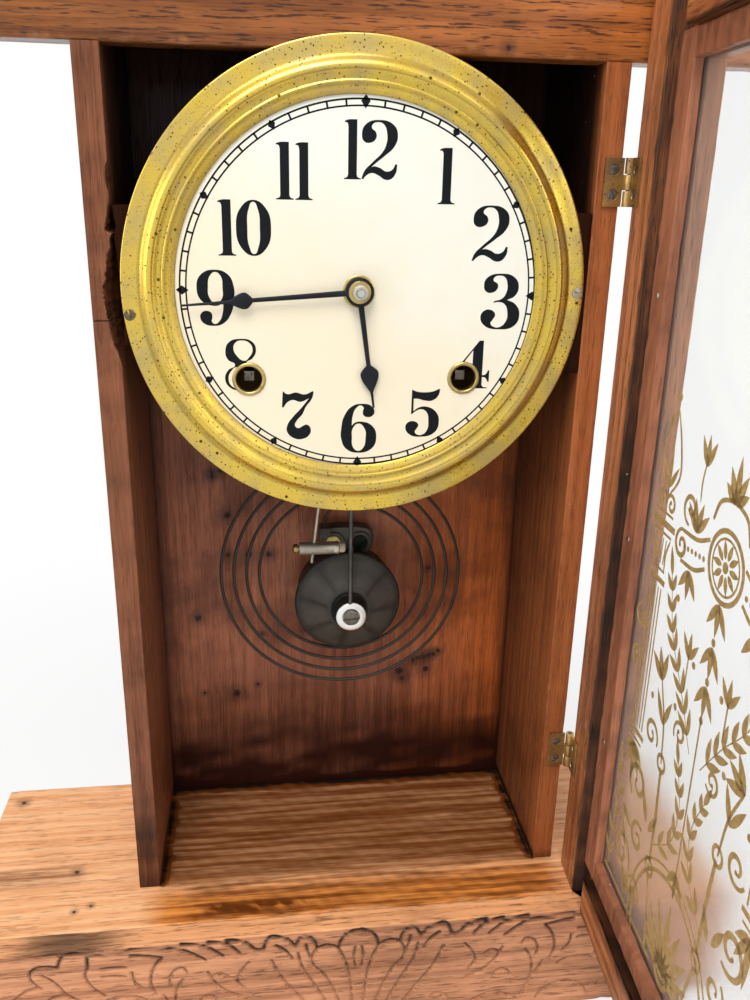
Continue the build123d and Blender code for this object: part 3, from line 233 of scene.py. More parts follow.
def oak(name, grain, dark, light, seed, figure=0.2, pore=0.75, gloss=0.36, blotch=0.5, worn=None, spots=(), turn=None,
        fleck=0.0, coat=0.08, drift=None, grime_and_shade=(0.010, 0.004, 0.0025), shine=0.2, soak=0.35, tint_and_highlight=None):
    """Varnished wood with its grain along an axis. dark and light are its two tones, figure the share of the arched
    rings, worn the colour of rubbed arrises, spots a list of (place in mm, radius) stains, fleck pale dust, and drift
    (from x, to x, colour) a second tone that takes over across the board. grime is the colour that the soot mark paints
    up to 1, for dirt and for painted shade alike, and what goes beyond is black, for deep dirt and deep painted shade;
    soak is how unevenly the grain takes it up, shine the strength of reflections, and tint the dark and light tones
    where the mesh is marked `tint_and_highlight`, for a second varnish and for a painted highlight."""
    finish, tree, bsdf = start_finish(name, Coat_Weight=coat, Coat_Roughness=0.12, Specular_IOR_Level=shine)
    draw = np.random.default_rng(seed)
    local = place(tree, (1, 1, 1), turn or ALONG[grain], draw.uniform(-400, 400, 3))
    slant = place(tree, (0.05, 1, 1), (0, *draw.uniform(2.0, 5.0, 2)), (0, *draw.uniform(-90, 90, 2)), local)
    rings = add(tree, "TexWave", {"Vector": slant, "Scale": 0.045, "Distortion": 14.0, "Detail": 4.0,
                                  "Detail Scale": 0.9, "Detail Roughness": 0.62},
                wave_type="RINGS", rings_direction="X", wave_profile="SIN").outputs["Fac"]
    streak = noise(tree, place(tree, (0.007, 0.24, 0.24), source=local), 1.0, 6, 0.6)
    fibre = noise(tree, place(tree, (0.05, 1.3, 1.3), source=local), 1.0, 5, 0.65)
    pores = noise(tree, place(tree, (0.1, 1.35, 1.35), source=local), 1.0, 3, 0.55)
    pores = plus(tree, pores, span(tree, streak, 0.3, 0.7, 0.05, -0.07))
    pores = span(tree, pores, 0.56, 0.64)
    cloud = noise(tree, local, 0.019, 5, 0.62)
    tone = plus(tree, times(tree, rings, figure), times(tree, streak, 0.5 - figure))
    tone = plus(tree, tone, times(tree, fibre, 0.5))
    lightness = span(tree, tone, 0.28, 0.72)
    colour = blend(tree, lightness, dark, light)
    if drift:
        across = add(tree, "SeparateXYZ", {0: place(tree, (1, 1, 1))}).outputs[0]
        across = plus(tree, across, span(tree, cloud, 0.3, 0.7, -25, 25))
        begin, end, middle = drift
        other = blend(tree, lightness, tuple(0.65 * c for c in middle), tuple(1.3 * c for c in middle))
        colour = blend(tree, span(tree, across, begin, end, 0.0, 0.85), colour, other)
    if tint_and_highlight:
        colour = blend(tree, mark(tree, "tint_and_highlight"), colour, blend(tree, lightness, *tint_and_highlight))
    deep = tuple(0.22 * c for c in dark)
    colour = blend(tree, times(tree, pores, pore), colour, deep)
    colour = blend(tree, span(tree, cloud, 0.45, 0.7, 0.0, blotch), colour, tuple(0.45 * c for c in dark))
    if worn:
        rub = times(tree, mark(tree, "wear"), span(tree, noise(tree, local, 0.12, 4), 0.48, 0.75, 0.0, 0.6))
        colour = blend(tree, rub, colour, worn)
    for where, radius in spots:
        off = add(tree, "VectorMath", {0: place(tree, (1, 1, 1)), 1: where}, operation="DISTANCE").outputs["Value"]
        ragged = plus(tree, off, times(tree, noise(tree, local, 0.5, 3), radius * 1.3))
        colour = blend(tree, span(tree, ragged, radius * 1.2, radius * 4.2, 0.5, 0.0), colour, STAIN_HALO)
        colour = blend(tree, span(tree, ragged, radius * 1.0, radius * 1.7, 0.95, 0.0), colour, STAIN_HEART)
    # the soot mark paints the grime colour: dirt in cuts and cracks, and painted shade inside the case, in its corners
    # and in the cuts; beyond 1 it goes black
    soot_and_shade = mark(tree, "soot_and_shade")
    part = times(tree, soot_and_shade, calc(tree, "SUBTRACT", 1.0, soot_and_shade))
    soaked = plus(tree, soot_and_shade, times(tree, part, span(tree, tone, 0.3, 0.7, soak, -soak)))
    colour = blend(tree, soaked, colour, grime_and_shade)
    colour = blend(tree, span(tree, soot_and_shade, 1.0, 2.0), colour, DIRT_AND_SHADE_BLACK)
    if fleck:
        colour = blend(tree, times(tree, specks(tree, local, 0.12, 0.06, 0.3), fleck), colour, DUST)
    tree.links.new(colour, bsdf.inputs["Base Color"])
    rough = plus(tree, span(tree, fibre, 0.3, 0.7, gloss - 0.07, gloss + 0.1), times(tree, pores, 0.2))
    tree.links.new(plus(tree, rough, times(tree, soot_and_shade, 0.12)), bsdf.inputs["Roughness"])
    relief = calc(tree, "SUBTRACT", times(tree, fibre, 0.55), times(tree, pores, 0.8))
    bump(tree, bsdf, relief, 0.2, 0.8)
    return finish


# %% Oak of each board
CREST_OAK = oak("crest_oak", "X", (0.10, 0.028, 0.008), (0.30, 0.10, 0.026), 11, 0.2, 0.85, 0.28, 0.3,
                (0.46, 0.19, 0.07), [((58, -25, 458.5), 1.5)], coat=0.2, drift=(-110, 150, (0.49, 0.15, 0.034)))
SIDE_OAK = oak("side_oak", "Z", (0.18, 0.056, 0.023), (0.32, 0.115, 0.052), 12, 0.1, 0.25, 0.4, 0.5,
               (0.36, 0.15, 0.07), fleck=0.3)
RIGHT_OAK = oak("right_side_oak", "Z", (0.25, 0.068, 0.018), (0.45, 0.145, 0.048), 13, 0.1, 0.3, 0.38, 0.45,
                (0.44, 0.17, 0.06), fleck=0.5)
CASE_REAR, BASE_TOP = 54.0, 62.0  # the back board's face and the base's upper face, where stains lie
BACK_STAINS = [((x, CASE_REAR, z), radius) for x, z, radius in (
    (-59.6, 126.6, 2.6), (35.7, 136.0, 3.2), (51.3, 136.5, 2.8), (-69.1, 261.6, 1.5), (-68.9, 259.4, 1.5),
    (-64.4, 262.6, 2.0), (-61.6, 237.0, 2.3), (-50.4, 213.8, 2.7), (-39.4, 213.2, 2.1), (-61.8, 213.6, 1.7),
    (-79.8, 175.9, 2.2), (50.6, 201.8, 1.4), (-47.3, 131.8, 1.1), (-77.9, 127.6, 1.1), (-44.3, 164.2, 1.2),
    (37.6, 131.2, 1.6), (43.9, 142.9, 1.7), (46.8, 144.1, 2.0), (49.8, 144.9, 1.9), (52.8, 145.5, 2.1),
    (55.8, 146.3, 1.9), (58.7, 148.2, 1.4))]
BASE_STAINS = [((x, y, BASE_TOP), radius) for x, y, radius in (
    (-184.9, 50.9, 2.0), (-143.8, -9.6, 1.7), (-140.1, -37.7, 1.0), (-132.5, -34.6, 1.0))]
BACK_OAK = oak("back_oak", "Z", (0.31, 0.10, 0.048), (0.56, 0.205, 0.105), 14, 0.08, 0.2, 0.32, 0.75,
               (0.36, 0.13, 0.05), BACK_STAINS, drift=(0, 90, (0.64, 0.15, 0.02)), grime_and_shade=(0.024, 0.0035, 0.0012))
# painted light: the base top's oak is much paler than that of the base's front and ends, its red up to full, for the
# strong light on its upward face; its second tones are a spilt varnish
LIT_BASE_OAK = oak("base_oak", "X", (0.84, 0.36, 0.145), (1.0, 0.575, 0.30), 15, 0.16, 0.4, 0.34, 0.16,
               (0.95, 0.55, 0.3), BASE_STAINS, grime_and_shade=(0.14, 0.034, 0.003), soak=1.2,
               tint_and_highlight=((0.42, 0.10, 0.012), (1.0, 0.36, 0.062)))
# the second tones of this oak paint a highlight on the front board's upward top face
FRONT_OAK = oak("base_front_oak", "X", (0.43, 0.17, 0.078), (0.83, 0.385, 0.195), 16, 0.15, 0.6, 0.42, 0.3,
                (0.68, 0.33, 0.17), tint_and_highlight=((0.74, 0.32, 0.135), (1.0, 0.50, 0.235)))
END_OAK = oak("base_end_oak", "Y", (0.28, 0.09, 0.03), (0.52, 0.2, 0.078), 17, 0.2, 0.6, 0.42, 0.5,
              (0.52, 0.24, 0.12))
TOP_OAK = oak("top_oak", "X", (0.17, 0.05, 0.014), (0.38, 0.125, 0.036), 18, 0.2, 0.7, 0.42, 0.5, (0.4, 0.17, 0.07))
STILE_OAK = oak("door_stile_oak", "Z", (0.22, 0.068, 0.022), (0.64, 0.24, 0.09), 19, 0.12, 0.7, 0.38, 0.5,
                (0.5, 0.21, 0.08), fleck=0.5, grime_and_shade=(0.022, 0.014, 0.012))
RAIL_OAK = oak("door_rail_oak", "X", (0.24, 0.076, 0.024), (0.58, 0.21, 0.075), 20, 0.15, 0.5, 0.38, 0.5,
               (0.5, 0.21, 0.08), turn=(0, 0, -86.4))
FILLET_WOOD = oak("fillet_wood", "Z", (0.29, 0.10, 0.05), (0.46, 0.18, 0.095), 21, 0.1, 0.3, 0.5, 0.5,
                  (0.4, 0.15, 0.075), fleck=0.6)
# painted shade: the dial blocks are near-black and without shine, for the shade beside the bezel inside the case
SHADED_BLOCK_WOOD = oak("shaded_block_wood", "Z", (0.012, 0.005, 0.003), (0.03, 0.011, 0.006), 22, 0.1, 0.3, 0.8, 0.5,
                 coat=0.0, shine=0.0)
print("materials, with the frame's own:", len(bpy.data.materials))

# %% [markdown]
# ### Brass, iron, nickel, steel, paint and glass
# Old lacquered brass is a metal with brown specks where the lacquer has failed and a few larger spots, greener where it
# is thin. Cast iron is a dull dark paint over a sandy surface. Nickel is bright and slightly milky. The dial is paint
# on zinc: a warm white, painted yellower towards the lower left as a painted reflection of the warm wood. The glass is
# an old pane, clear, with a green edge.

# %% Recipe for metal
def metal(name, colour, other, rough, seed, spot=0.0, spot_colour=(0.1, 0.05, 0.015), smear=0.12, relief=0.02,
          metallic=1.0, grime_and_shade=None, shine=0.5):
    """A metal whose colour drifts between two tones, with fine and coarse specks and uneven polish."""
    finish, tree, bsdf = start_finish(name, Metallic=metallic, Specular_IOR_Level=shine)
    shift = np.random.default_rng(seed).uniform(-300, 300, 3)
    local = place(tree, (1, 1, 1), shift=shift)
    cloud = noise(tree, local, 0.06, 4, 0.6)
    fine = noise(tree, local, 0.9, 3, 0.6)
    tone = blend(tree, span(tree, cloud, 0.35, 0.68), colour, other)
    if spot:
        area = span(tree, noise(tree, local, 0.09, 2), 0.28, 0.52)
        dots = calc(tree, "MAXIMUM", times(tree, specks(tree, local, 0.55, 0.25, 0.75), area),
                    specks(tree, local, 0.14, 0.13, 0.6))
        dots = calc(tree, "MAXIMUM", dots, times(tree, specks(tree, local, 1.1, 0.27, 0.55), 0.7))
        tone = blend(tree, times(tree, dots, spot), tone, spot_colour)
        rough_spots = times(tree, dots, 0.35)
    # grime follows the soot mark: patina in the bezel's hollows, dirt on the aged screws, and painted shade on the gong
    # casting
    if grime_and_shade is not None:
        dirt = times(tree, mark(tree, "soot_and_shade"), span(tree, fine, 0.25, 0.6, 0.7, 1.0))
        tone = blend(tree, dirt, tone, grime_and_shade)
    tree.links.new(tone, bsdf.inputs["Base Color"])
    polish = span(tree, cloud, 0.3, 0.7, rough - smear / 2, rough + smear / 2)
    polish = plus(tree, polish, times(tree, fine, 0.08))
    if spot:
        polish = plus(tree, polish, rough_spots)
    tree.links.new(polish, bsdf.inputs["Roughness"])
    bump(tree, bsdf, fine, relief, 0.6)
    return finish


# %% Metals
BEZEL_BRASS = metal("bezel_brass", (0.75, 0.53, 0.09), (0.56, 0.42, 0.14), 0.27, 31, 0.92, (0.06, 0.03, 0.008),
                    0.1, 0.012, grime_and_shade=(0.15, 0.095, 0.02))
HINGE_BRASS = metal("hinge_brass", (0.54, 0.35, 0.13), (0.26, 0.165, 0.075), 0.34, 32, 0.9, (0.05, 0.028, 0.015),
                    0.16, 0.03)
# painted shade: the movement's front plate is a darkened copy of the movement brass, for the shade inside the case
SHADED_PLATE_BRASS = metal("shaded_plate_brass", (0.10, 0.07, 0.028), (0.05, 0.036, 0.016), 0.5, 44, 0.5)
PLATE_BRASS = metal("movement_brass", (0.56, 0.40, 0.13), (0.44, 0.32, 0.12), 0.38, 33, 0.5)
GROMMET_BRASS = metal("grommet_brass", (0.52, 0.40, 0.15), (0.36, 0.27, 0.10), 0.3, 34, 0.4)
HAND_STEEL = metal("blued_hands", (0.010, 0.012, 0.016), (0.016, 0.018, 0.024), 0.45, 35, metallic=0.1, shine=0.15)
DARK_STEEL = metal("dark_steel", (0.12, 0.115, 0.11), (0.07, 0.066, 0.062), 0.4, 36, 0.4, (0.06, 0.035, 0.02))
SCREW_STEEL = metal("screw_steel", (0.26, 0.24, 0.21), (0.15, 0.135, 0.115), 0.4, 37, 0.5, (0.08, 0.05, 0.03))
BRIGHT_STEEL = metal("bright_steel", (0.62, 0.61, 0.58), (0.5, 0.49, 0.46), 0.26, 38, 0.25, (0.2, 0.16, 0.12))
NICKEL = metal("nickel", (0.56, 0.53, 0.45), (0.42, 0.39, 0.32), 0.44, 39, 0.3, (0.25, 0.2, 0.14))
WASHER_NICKEL = metal("washer_nickel", (0.93, 0.93, 0.91), (0.86, 0.86, 0.83), 0.3, 43, 0.15, (0.5, 0.46, 0.4))
# the gong's grime colour is the near-black of the shade painted on the casting
GONG_IRON = metal("gong_iron", (0.082, 0.074, 0.06), (0.12, 0.108, 0.09), 0.4, 40, 0.25, (0.05, 0.045, 0.035),
                  0.14, 0.12, 0.0, grime_and_shade=(0.010, 0.009, 0.007), shine=0.35)
COIL_STEEL = metal("gong_wire", (0.026, 0.024, 0.021), (0.048, 0.043, 0.037), 0.42, 41, 0.3, (0.05, 0.025, 0.015),
                   metallic=0.3)
AGED_SCREW = metal("aged_screw", (0.52, 0.48, 0.42), (0.38, 0.35, 0.30), 0.4, 45, 0.4, grime_and_shade=(0.13, 0.10, 0.065))
HOLE_BLACK = metal("shaded_screw", (0.012, 0.016, 0.013), (0.022, 0.026, 0.02), 0.5, 46, 0.2, metallic=0.2, shine=0.1)
SPRING_STEEL = metal("spring_steel", (0.2, 0.2, 0.215), (0.13, 0.13, 0.15), 0.32, 42, 0.3)
print("materials, with the metals:", len(bpy.data.materials))

# %% Gilding, paint, ink, glass and leather
def gilding():
    """Gold leaf on glass, seen from the door's back: brownish gold with thin places and a satin shine."""
    finish, tree, bsdf = start_finish("gilding", Metallic=0.2)
    local = place(tree, (1, 1, 1))
    thin = noise(tree, local, 0.5, 4, 0.6)
    tone = blend(tree, span(tree, thin, 0.32, 0.68), (0.40, 0.265, 0.095), (0.56, 0.40, 0.17))
    tree.links.new(tone, bsdf.inputs["Base Color"])
    tree.links.new(span(tree, thin, 0.3, 0.7, 0.36, 0.55), bsdf.inputs["Roughness"])
    return finish


def dial_paint():
    """Warm white paint on the dial, painted yellower towards the lower left, where x / 2 + 0.85 z is small, as a
    painted reflection of the warm wood, with faint clouds and a few brown specks."""
    warm_reflection, cool_white, brown = (0.875, 0.79, 0.60), (0.865, 0.87, 0.78), (0.45, 0.36, 0.22)
    finish, tree, bsdf = start_finish("dial_paint", Roughness=0.32, Coat_Weight=0.12, Coat_Roughness=0.1)
    local = place(tree, (1, 1, 1), shift=(31, 7, -19))
    at = add(tree, "SeparateXYZ", {0: place(tree, (1, 1, 1))}).outputs
    # painted reflection: the warm tone takes over where x / 2 + 0.85 z is small
    reflection_reach = plus(tree, times(tree, at[0], 0.5), times(tree, at[2], 0.85))
    reflection_reach = plus(tree, reflection_reach, span(tree, noise(tree, local, 0.03, 4), 0.35, 0.7, -12, 12))
    tone = blend(tree, span(tree, reflection_reach, 275, 360), warm_reflection, cool_white)
    tone = blend(tree, times(tree, specks(tree, local, 0.1, 0.05, 0.3), 0.35), tone, brown)
    tree.links.new(tone, bsdf.inputs["Base Color"])
    bump(tree, bsdf, noise(tree, local, 0.25, 3), 0.03, 0.5)
    return finish


def dial_ink():
    """Black print with a cool cast, a little thin where the ink has worn."""
    finish, tree, bsdf = start_finish("dial_ink", Roughness=0.4, Specular_IOR_Level=0.15)
    local = place(tree, (1, 1, 1))
    thin = span(tree, noise(tree, local, 0.8, 4, 0.7), 0.62, 0.85)
    tree.links.new(blend(tree, thin, (0.004, 0.006, 0.008), (0.05, 0.052, 0.05)), bsdf.inputs["Base Color"])
    return finish


def pane():
    """Old window glass: clear above, with a film of dust and grease on its lower half that softens what lies behind."""
    finish, tree, bsdf = start_finish("old_glass", Base_Color=(0.97, 0.985, 0.98, 1.0), IOR=1.12,
                                      Transmission_Weight=0.93)
    local = place(tree, (1, 1, 1))
    low = span(tree, add(tree, "SeparateXYZ", {0: local}).outputs[2], 190, 300, 0.2, 0.01)
    dust = span(tree, noise(tree, local, 0.05, 5, 0.65), 0.4, 0.75, 0.0, 0.05)
    tree.links.new(plus(tree, low, dust), bsdf.inputs["Roughness"])
    return finish


def leather():
    """The hammer's pale leather tip: cream, dull and fuzzy."""
    finish, tree, bsdf = start_finish("pale_leather", Roughness=0.75)
    grain = noise(tree, place(tree, (1, 1, 1)), 2.2, 4, 0.6)
    tone = blend(tree, span(tree, grain, 0.35, 0.65), (0.50, 0.42, 0.30), (0.68, 0.60, 0.46))
    tree.links.new(tone, bsdf.inputs["Base Color"])
    bump(tree, bsdf, grain, 0.12)
    return finish


GILDING, DIAL_PAINT, DIAL_INK, PANE, LEATHER = gilding(), dial_paint(), dial_ink(), pane(), leather()
print("materials in all:", len(bpy.data.materials))

# %% [markdown]
# ## Boards
# A new board is a box. A board that has been handled for a century has soft, uneven arrises with small chips, and its
# faces are not quite flat. A bevelled cube would give one even radius, so each board is a rounded rectangle carried
# along its grain, and the radius of each corner changes along the way. The limits of the rectangle may change too,
# which gives the notch of a side board and the outline of the crest. Each point also gets its `wear`, from how near it
# is to an arris.

# %% Worn arrises
ARC_STEPS = 5
EDGE_GAPS = (0.5, 2.6)  # rows of points this far from an arris hold the shading and the wear close to it
WEAR_REACH = 1.6  # wear falls off over this distance from an arris


def wobble(x, seed):
    """A smooth seeded unevenness between -1 and 1: four sine waves of rising pitch and random phase, averaged."""
    draw = np.random.default_rng(seed)
    pitch, phase = draw.uniform(0.6, 1.4, 4) * [1, 2.3, 5.1, 11.7], draw.uniform(0, 2 * np.pi, 4)
    return np.mean([np.sin(x * p + q) for p, q in zip(pitch, phase)], axis=0) * 1.5


def side_steps(length, step):
    """Fractions along one side of the section: two rows near each arris and even rows of about `step` between."""
    even = np.linspace(0, length, max(int(round(length / step)), 2) + 1)[1:-1]
    gaps = np.array([g for g in EDGE_GAPS if g < 0.3 * length])
    return np.unique(np.concatenate([gaps, length - gaps, even[(even > 4) & (even < length - 4)]])) / length


def chipped(run, radius, seed, chips):
    """A corner's radius along a run: uneven by a third, with a few bites two or three times as deep."""
    draw = np.random.default_rng(seed)
    bites = sum(draw.uniform(0.3, 1.6) * np.exp(-((run - draw.uniform(run[0], run[-1])) / draw.uniform(1.5, 6)) ** 2)
                for _ in range(chips))
    return radius * (1 + 0.25 * wobble(run / 40, seed) + bites)


# %% Worn boards
def board(axis, run, low, high, radius, seed, step=8.0, chips=5, end=0.8, wave=0.12):
    """Rings (stations, points, 3) of a board along `axis` and the wear at each point.
    run: stations; low, high: limits (stations, 2) on the next two axes. Each ring is four corner arcs joined by
    straight sides, shrunk over the last `end` millimetres so that the end arrises are round too."""
    run, low, high = np.asarray(run, float), np.asarray(low, float), np.asarray(high, float)
    low, high = (np.broadcast_to(lim, (len(run), 2)) for lim in (low, high))
    phi = np.linspace(0, np.pi / 2, ARC_STEPS)
    lead = np.concatenate([[0.0], end - end * np.cos(phi)])
    inset = np.concatenate([[end + 0.6], end - end * np.sin(phi)])
    s = np.concatenate([run[0] + lead, run[1:-1], (run[-1] - lead)[::-1]])
    inset = np.concatenate([inset, 0 * run[1:-1], inset[::-1]])[:, None]
    low, high = (np.concatenate([np.repeat(lim[:1], len(lead), 0), lim[1:-1], np.repeat(lim[-1:], len(lead), 0)])
                 for lim in (low, high))
    low, high = low + inset, high - inset
    room = 0.45 * np.maximum((high - low).min(axis=1), 0.02)
    size = np.max(high - low, axis=0)
    radii = [np.minimum(chipped(s, radius, seed * 10 + corner, chips), room)[:, None] for corner in range(4)]
    middles = [np.where(np.array(sign) > 0, high - r, low + r)
               for sign, r in zip(((1, 1), (-1, 1), (-1, -1), (1, -1)), radii)]
    ring, wear = [], []
    for corner in range(4):
        turn = corner * np.pi / 2 + phi
        ring.append(middles[corner][:, None] + radii[corner][..., None] * np.stack([np.cos(turn), np.sin(turn)], -1))
        wear.append(np.ones(ARC_STEPS))
        out = np.array([np.cos(turn[-1]), np.sin(turn[-1])])
        last, first = ring[-1][:, -1], middles[(corner + 1) % 4] + radii[(corner + 1) % 4] * out
        length = size[corner % 2]
        f = side_steps(length, step)
        side = last[:, None] + (first - last)[:, None] * f[None, :, None]
        sag = wave * (0.5 + 0.5 * wobble(s[:, None] / 40 + f * length / 30, seed + corner)) * np.sin(np.pi * f) ** 0.5
        ring.append(side - sag[..., None] * out)
        wear.append(np.exp(-np.minimum(f, 1 - f) * length / WEAR_REACH))
    flat = np.concatenate(ring, axis=1)
    rings = np.empty((*flat.shape[:2], 3))
    rings[..., axis], rings[..., (axis + 1) % 3], rings[..., (axis + 2) % 3] = s[:, None], flat[..., 0], flat[..., 1]
    wear = np.tile(np.concatenate(wear), (len(s), 1))
    wear[inset[:, 0] > 0] = 1.0
    return rings, wear


def plank(low, high, axis, radius, seed, step=8.0, along=7.0, **more):
    """A straight board between two corners of a box, with stations every `along` millimetres."""
    low, high = np.asarray(low, float), np.asarray(high, float)
    a, b = (axis + 1) % 3, (axis + 2) % 3
    run = np.linspace(low[axis], high[axis], max(int((high[axis] - low[axis]) / along), 3))
    return board(axis, run, low[[a, b]], high[[a, b]], radius, seed, step, **more)


def board_piece(name, parts, finish, body, nodes, soot_and_shade=None, move=None, tint_and_highlight=None):
    """A wooden piece of one or more boards; `soot_and_shade` darkens points, `tint_and_highlight` gives them the finish's second tones and
    `move` carries them to their place."""
    points = [rings if move is None else move(rings) for rings, _ in parts]
    marks = {"wear": np.concatenate([w.ravel() for _, w in parts]),
             "soot_and_shade": np.concatenate([np.zeros(w.size) for _, w in parts]) if soot_and_shade is None else soot_and_shade}
    if tint_and_highlight is not None:
        marks["tint_and_highlight"] = tint_and_highlight
    return piece(name, [tube_shell(p) for p in points], finish, body, nodes, marks=marks)


print("points round a plank of 10 x 20 mm:", plank((0, 0, 0), (90, 10, 20), 0, 0.5, 1)[0].shape[1])

# %% [markdown]
# ## Carving
# The base front and the crest are cut with a V-tool: plain scrolls, leaves and a fan of lobes, the traditional
# shelf-clock kind. A boolean cut would tear the board's even mesh, so the board gets a fine grid, and each point sinks
# by how near it lies to the tool's line. The same nearness is kept in the soot mark, for the old varnish and dirt that
# gather in a cut and for painted shade in the cut.

# %% Cutting lines
CUT_DEEP = 1.1


def petal(x, z, angle, length, width):
    """A lobe from its root at (x, z): half width grows as t^0.7 and closes as sqrt(1 - t^5), so its tip is round."""
    t = 1 - np.linspace(1, 0, 30) ** 1.6
    swell = 1.15 * width * t**0.7 * np.sqrt(1 - t**5)
    lobe = np.concatenate([np.stack([t * length, swell], -1), np.stack([t * length, -swell], -1)[::-1]])
    a = math.radians(angle)
    return lobe @ np.array([[math.sin(a), math.cos(a)], [math.cos(a), -math.sin(a)]]) + [x, z]


def scroll(x, z, radius, begin, sweep, shrink=0.55, steps=26):
    """A volute: a circle whose radius shrinks evenly as it turns through `sweep` degrees from `begin`."""
    t = np.linspace(0, 1, steps)
    a = np.radians(begin + sweep * t)
    r = radius * (1 - shrink * t)
    return np.stack([x + r * np.cos(a), z + r * np.sin(a)], -1)


def carve(rings, face, lines, wide):
    """Sinks the points of a front face: depth = CUT_DEEP (1 - distance / wide) for the nearest of all lines.
    Returns the share of the full depth at each point."""
    x, z = rings[..., 0][face], rings[..., 2][face]
    cut = np.zeros(x.shape)
    for line in lines:
        near = (x > line[:, 0].min() - wide) & (x < line[:, 0].max() + wide)
        near &= (z > line[:, 1].min() - wide) & (z < line[:, 1].max() + wide)
        a, d = line[:-1], np.diff(line, axis=0)
        px, pz = x[near][:, None] - a[:, 0], z[near][:, None] - a[:, 1]
        f = np.clip((px * d[:, 0] + pz * d[:, 1]) / np.maximum((d**2).sum(1), 1e-9), 0, 1)
        gap = np.sqrt((px - f * d[:, 0]) ** 2 + (pz - f * d[:, 1]) ** 2).min(axis=1)
        cut[near] = np.maximum(cut[near], np.clip(1 - gap / wide, 0, 1))
    share = np.zeros(rings.shape[:2])
    share[face] = cut
    rings[..., 1] += CUT_DEEP * share
    return share


# %% [markdown]
# ## The base
# Six boards make the base: a carved front, a top that carries the case, a bottom, two ends and a back rail. The front
# is cut with a fan of lobes under the middle of the opening and leafy scrolls to both sides. Each cut is drawn once,
# for the right half, by the few points that it passes, and mirrored.

# %% Cuts of the base front
FAN_TOP = "-10,50 -8.8,55 -5,59.4 0,60.6 5,59.4 8.8,55 10,50"
HALF_FAN = ("10,50 6.6,42 4.6,33 3.4,22 2.6,10",
            "10,50 12.6,52 17,52.8 21,50.6 23.4,45 22,40 17.6,35 14.6,29 11,20 8,10",
            "20.6,51.6 22,56 25,59 28.4,58.8 31.4,54", "31.4,54 34.8,58.2 40,60.6 44,60.4 46,56.5 46.6,53.8",
            "46.6,53.8 49,53.4 51.2,54", "33,46.5 36.4,51.6 40.6,55", "30,49 28,40 23,30 18,20 13.6,10",
            "43,46 38,34 30,22 22,10", "26,54 25.4,50 24,46", "1.6,50 2.4,44 1.6,38")
HALF_LEAF = ("51.2,54 54.6,58 60,60.4 64.6,60.8", "58.4,52.4 62.8,57.4 68,60 73.2,60.8",
             "66.4,51.6 73.2,57.2 79.4,60 86,60.8", "74.6,49.6 82,55.2 88.2,57.8 98,59.4 110,60.2",
             "110,59.6 121,58.2 130,59.6 137,60.8 141.6,58.8 144,53", "95.4,53.6 98.6,49.4 100.6,44.6 101.4,38 99.4,31",
             "95.4,53.6 103,55.4 110,56.2", "130,57 130.4,51 131.8,47 130.6,42 127.6,37 123.4,33",
             "144,53 149,54 154,53.4 156.6,51 156.8,46.6 154,42.2 152.6,41", "154.6,41.6 159.2,40 164,36.4 168,32",
             "168,32 175,33 180,29 181,22", "151.6,48.6 147.8,45.6 144.6,41.6 141.4,36 136.2,31.6 131,28.6",
             "152,30 149,33.8 144.2,35.4 140.6,35", "122.6,29 118.8,31 109.6,30.6 104,28", "124,49.6 118,49.8 113,49.4",
             "124,44.8 118,44.4 113,43.6", "84,43 86,46 90,44.6 92.4,40 92,35", "86,39 89.6,32 90,20 86,10",
             "96,30 92.2,23 89,19", "64.6,38.4 68.2,40.6 72.6,39", "70,23 71.8,26.3 75.6,27 79,23.7",
             "110,46 109,40 106,36", "54,46 58,41 60,35 57,30", "56,24 64,28 70,34 74,42", "38,14 43,14.6 48,9.6",
             "60,8 70,12 82,8", "128,22 140,24 152,20 164,22 176,14", "120,10 134,14 150,9 170,8")


def smooth_path(knots, count):
    """A Catmull-Rom line through knots in a plane or in space, sampled at `count` even steps of its parameter."""
    knots = np.asarray(knots, float)
    ext = np.vstack([2 * knots[0] - knots[1], knots, 2 * knots[-1] - knots[-2]])
    t = np.linspace(0, len(knots) - 1, count)
    i = np.minimum(t.astype(int), len(knots) - 2)
    f = (t - i)[:, None]
    a, b, c, d = ext[i], ext[i + 1], ext[i + 2], ext[i + 3]
    return 0.5 * (2 * b + (c - a) * f + (2 * a - 5 * b + 4 * c - d) * f**2 + (3 * b - a - 3 * c + d) * f**3)


def cut_line(text):
    """A smooth cut through a few points of the board's face, read from 'x,z x,z'."""
    knots = np.array([word.split(",") for word in text.split()], float)
    return smooth_path(knots, 8 * len(knots))


half_cuts = [cut_line(text) for text in HALF_FAN + HALF_LEAF] + [scroll(108, 0, 15, 20, 140, 0)]
front_cuts = [cut_line(FAN_TOP)] + [cut * [side, 1] for side in (-1, 1) for cut in half_cuts]
print("cuts on the base front:", len(front_cuts))

# %% Base front
BASE_X, BASE_FRONT, FRONT_BACK, BASE_REAR, BOARD = 195.0, -63.0, -51.0, 63.0, 9.0
FRONT_GRID, FRONT_ALONG, FRONT_CUT_WIDE = 0.75, 0.78, 1.3


def patch(x, at, half, power=2):
    """A smooth patch round `at`: exp(-|(x - at) / half|^power), the flatter in its middle the higher the power."""
    return np.exp(-np.abs((x - at) / half) ** power)


def ramp(x, low, high):
    """0 up to `low`, then evenly up to 1 at `high`, and 1 from there on."""
    return np.clip((x - low) / (high - low), 0, 1)


front_rings, front_wear = plank((-BASE_X, BASE_FRONT, 0), (BASE_X, FRONT_BACK, BASE_TOP), 0, 1.0, 51, FRONT_GRID,
                                FRONT_ALONG, chips=6)
front_cut = carve(front_rings, front_rings[..., 1] < BASE_FRONT + 0.5, front_cuts, FRONT_CUT_WIDE)
x, y, z = np.moveaxis(front_rings, -1, 0)
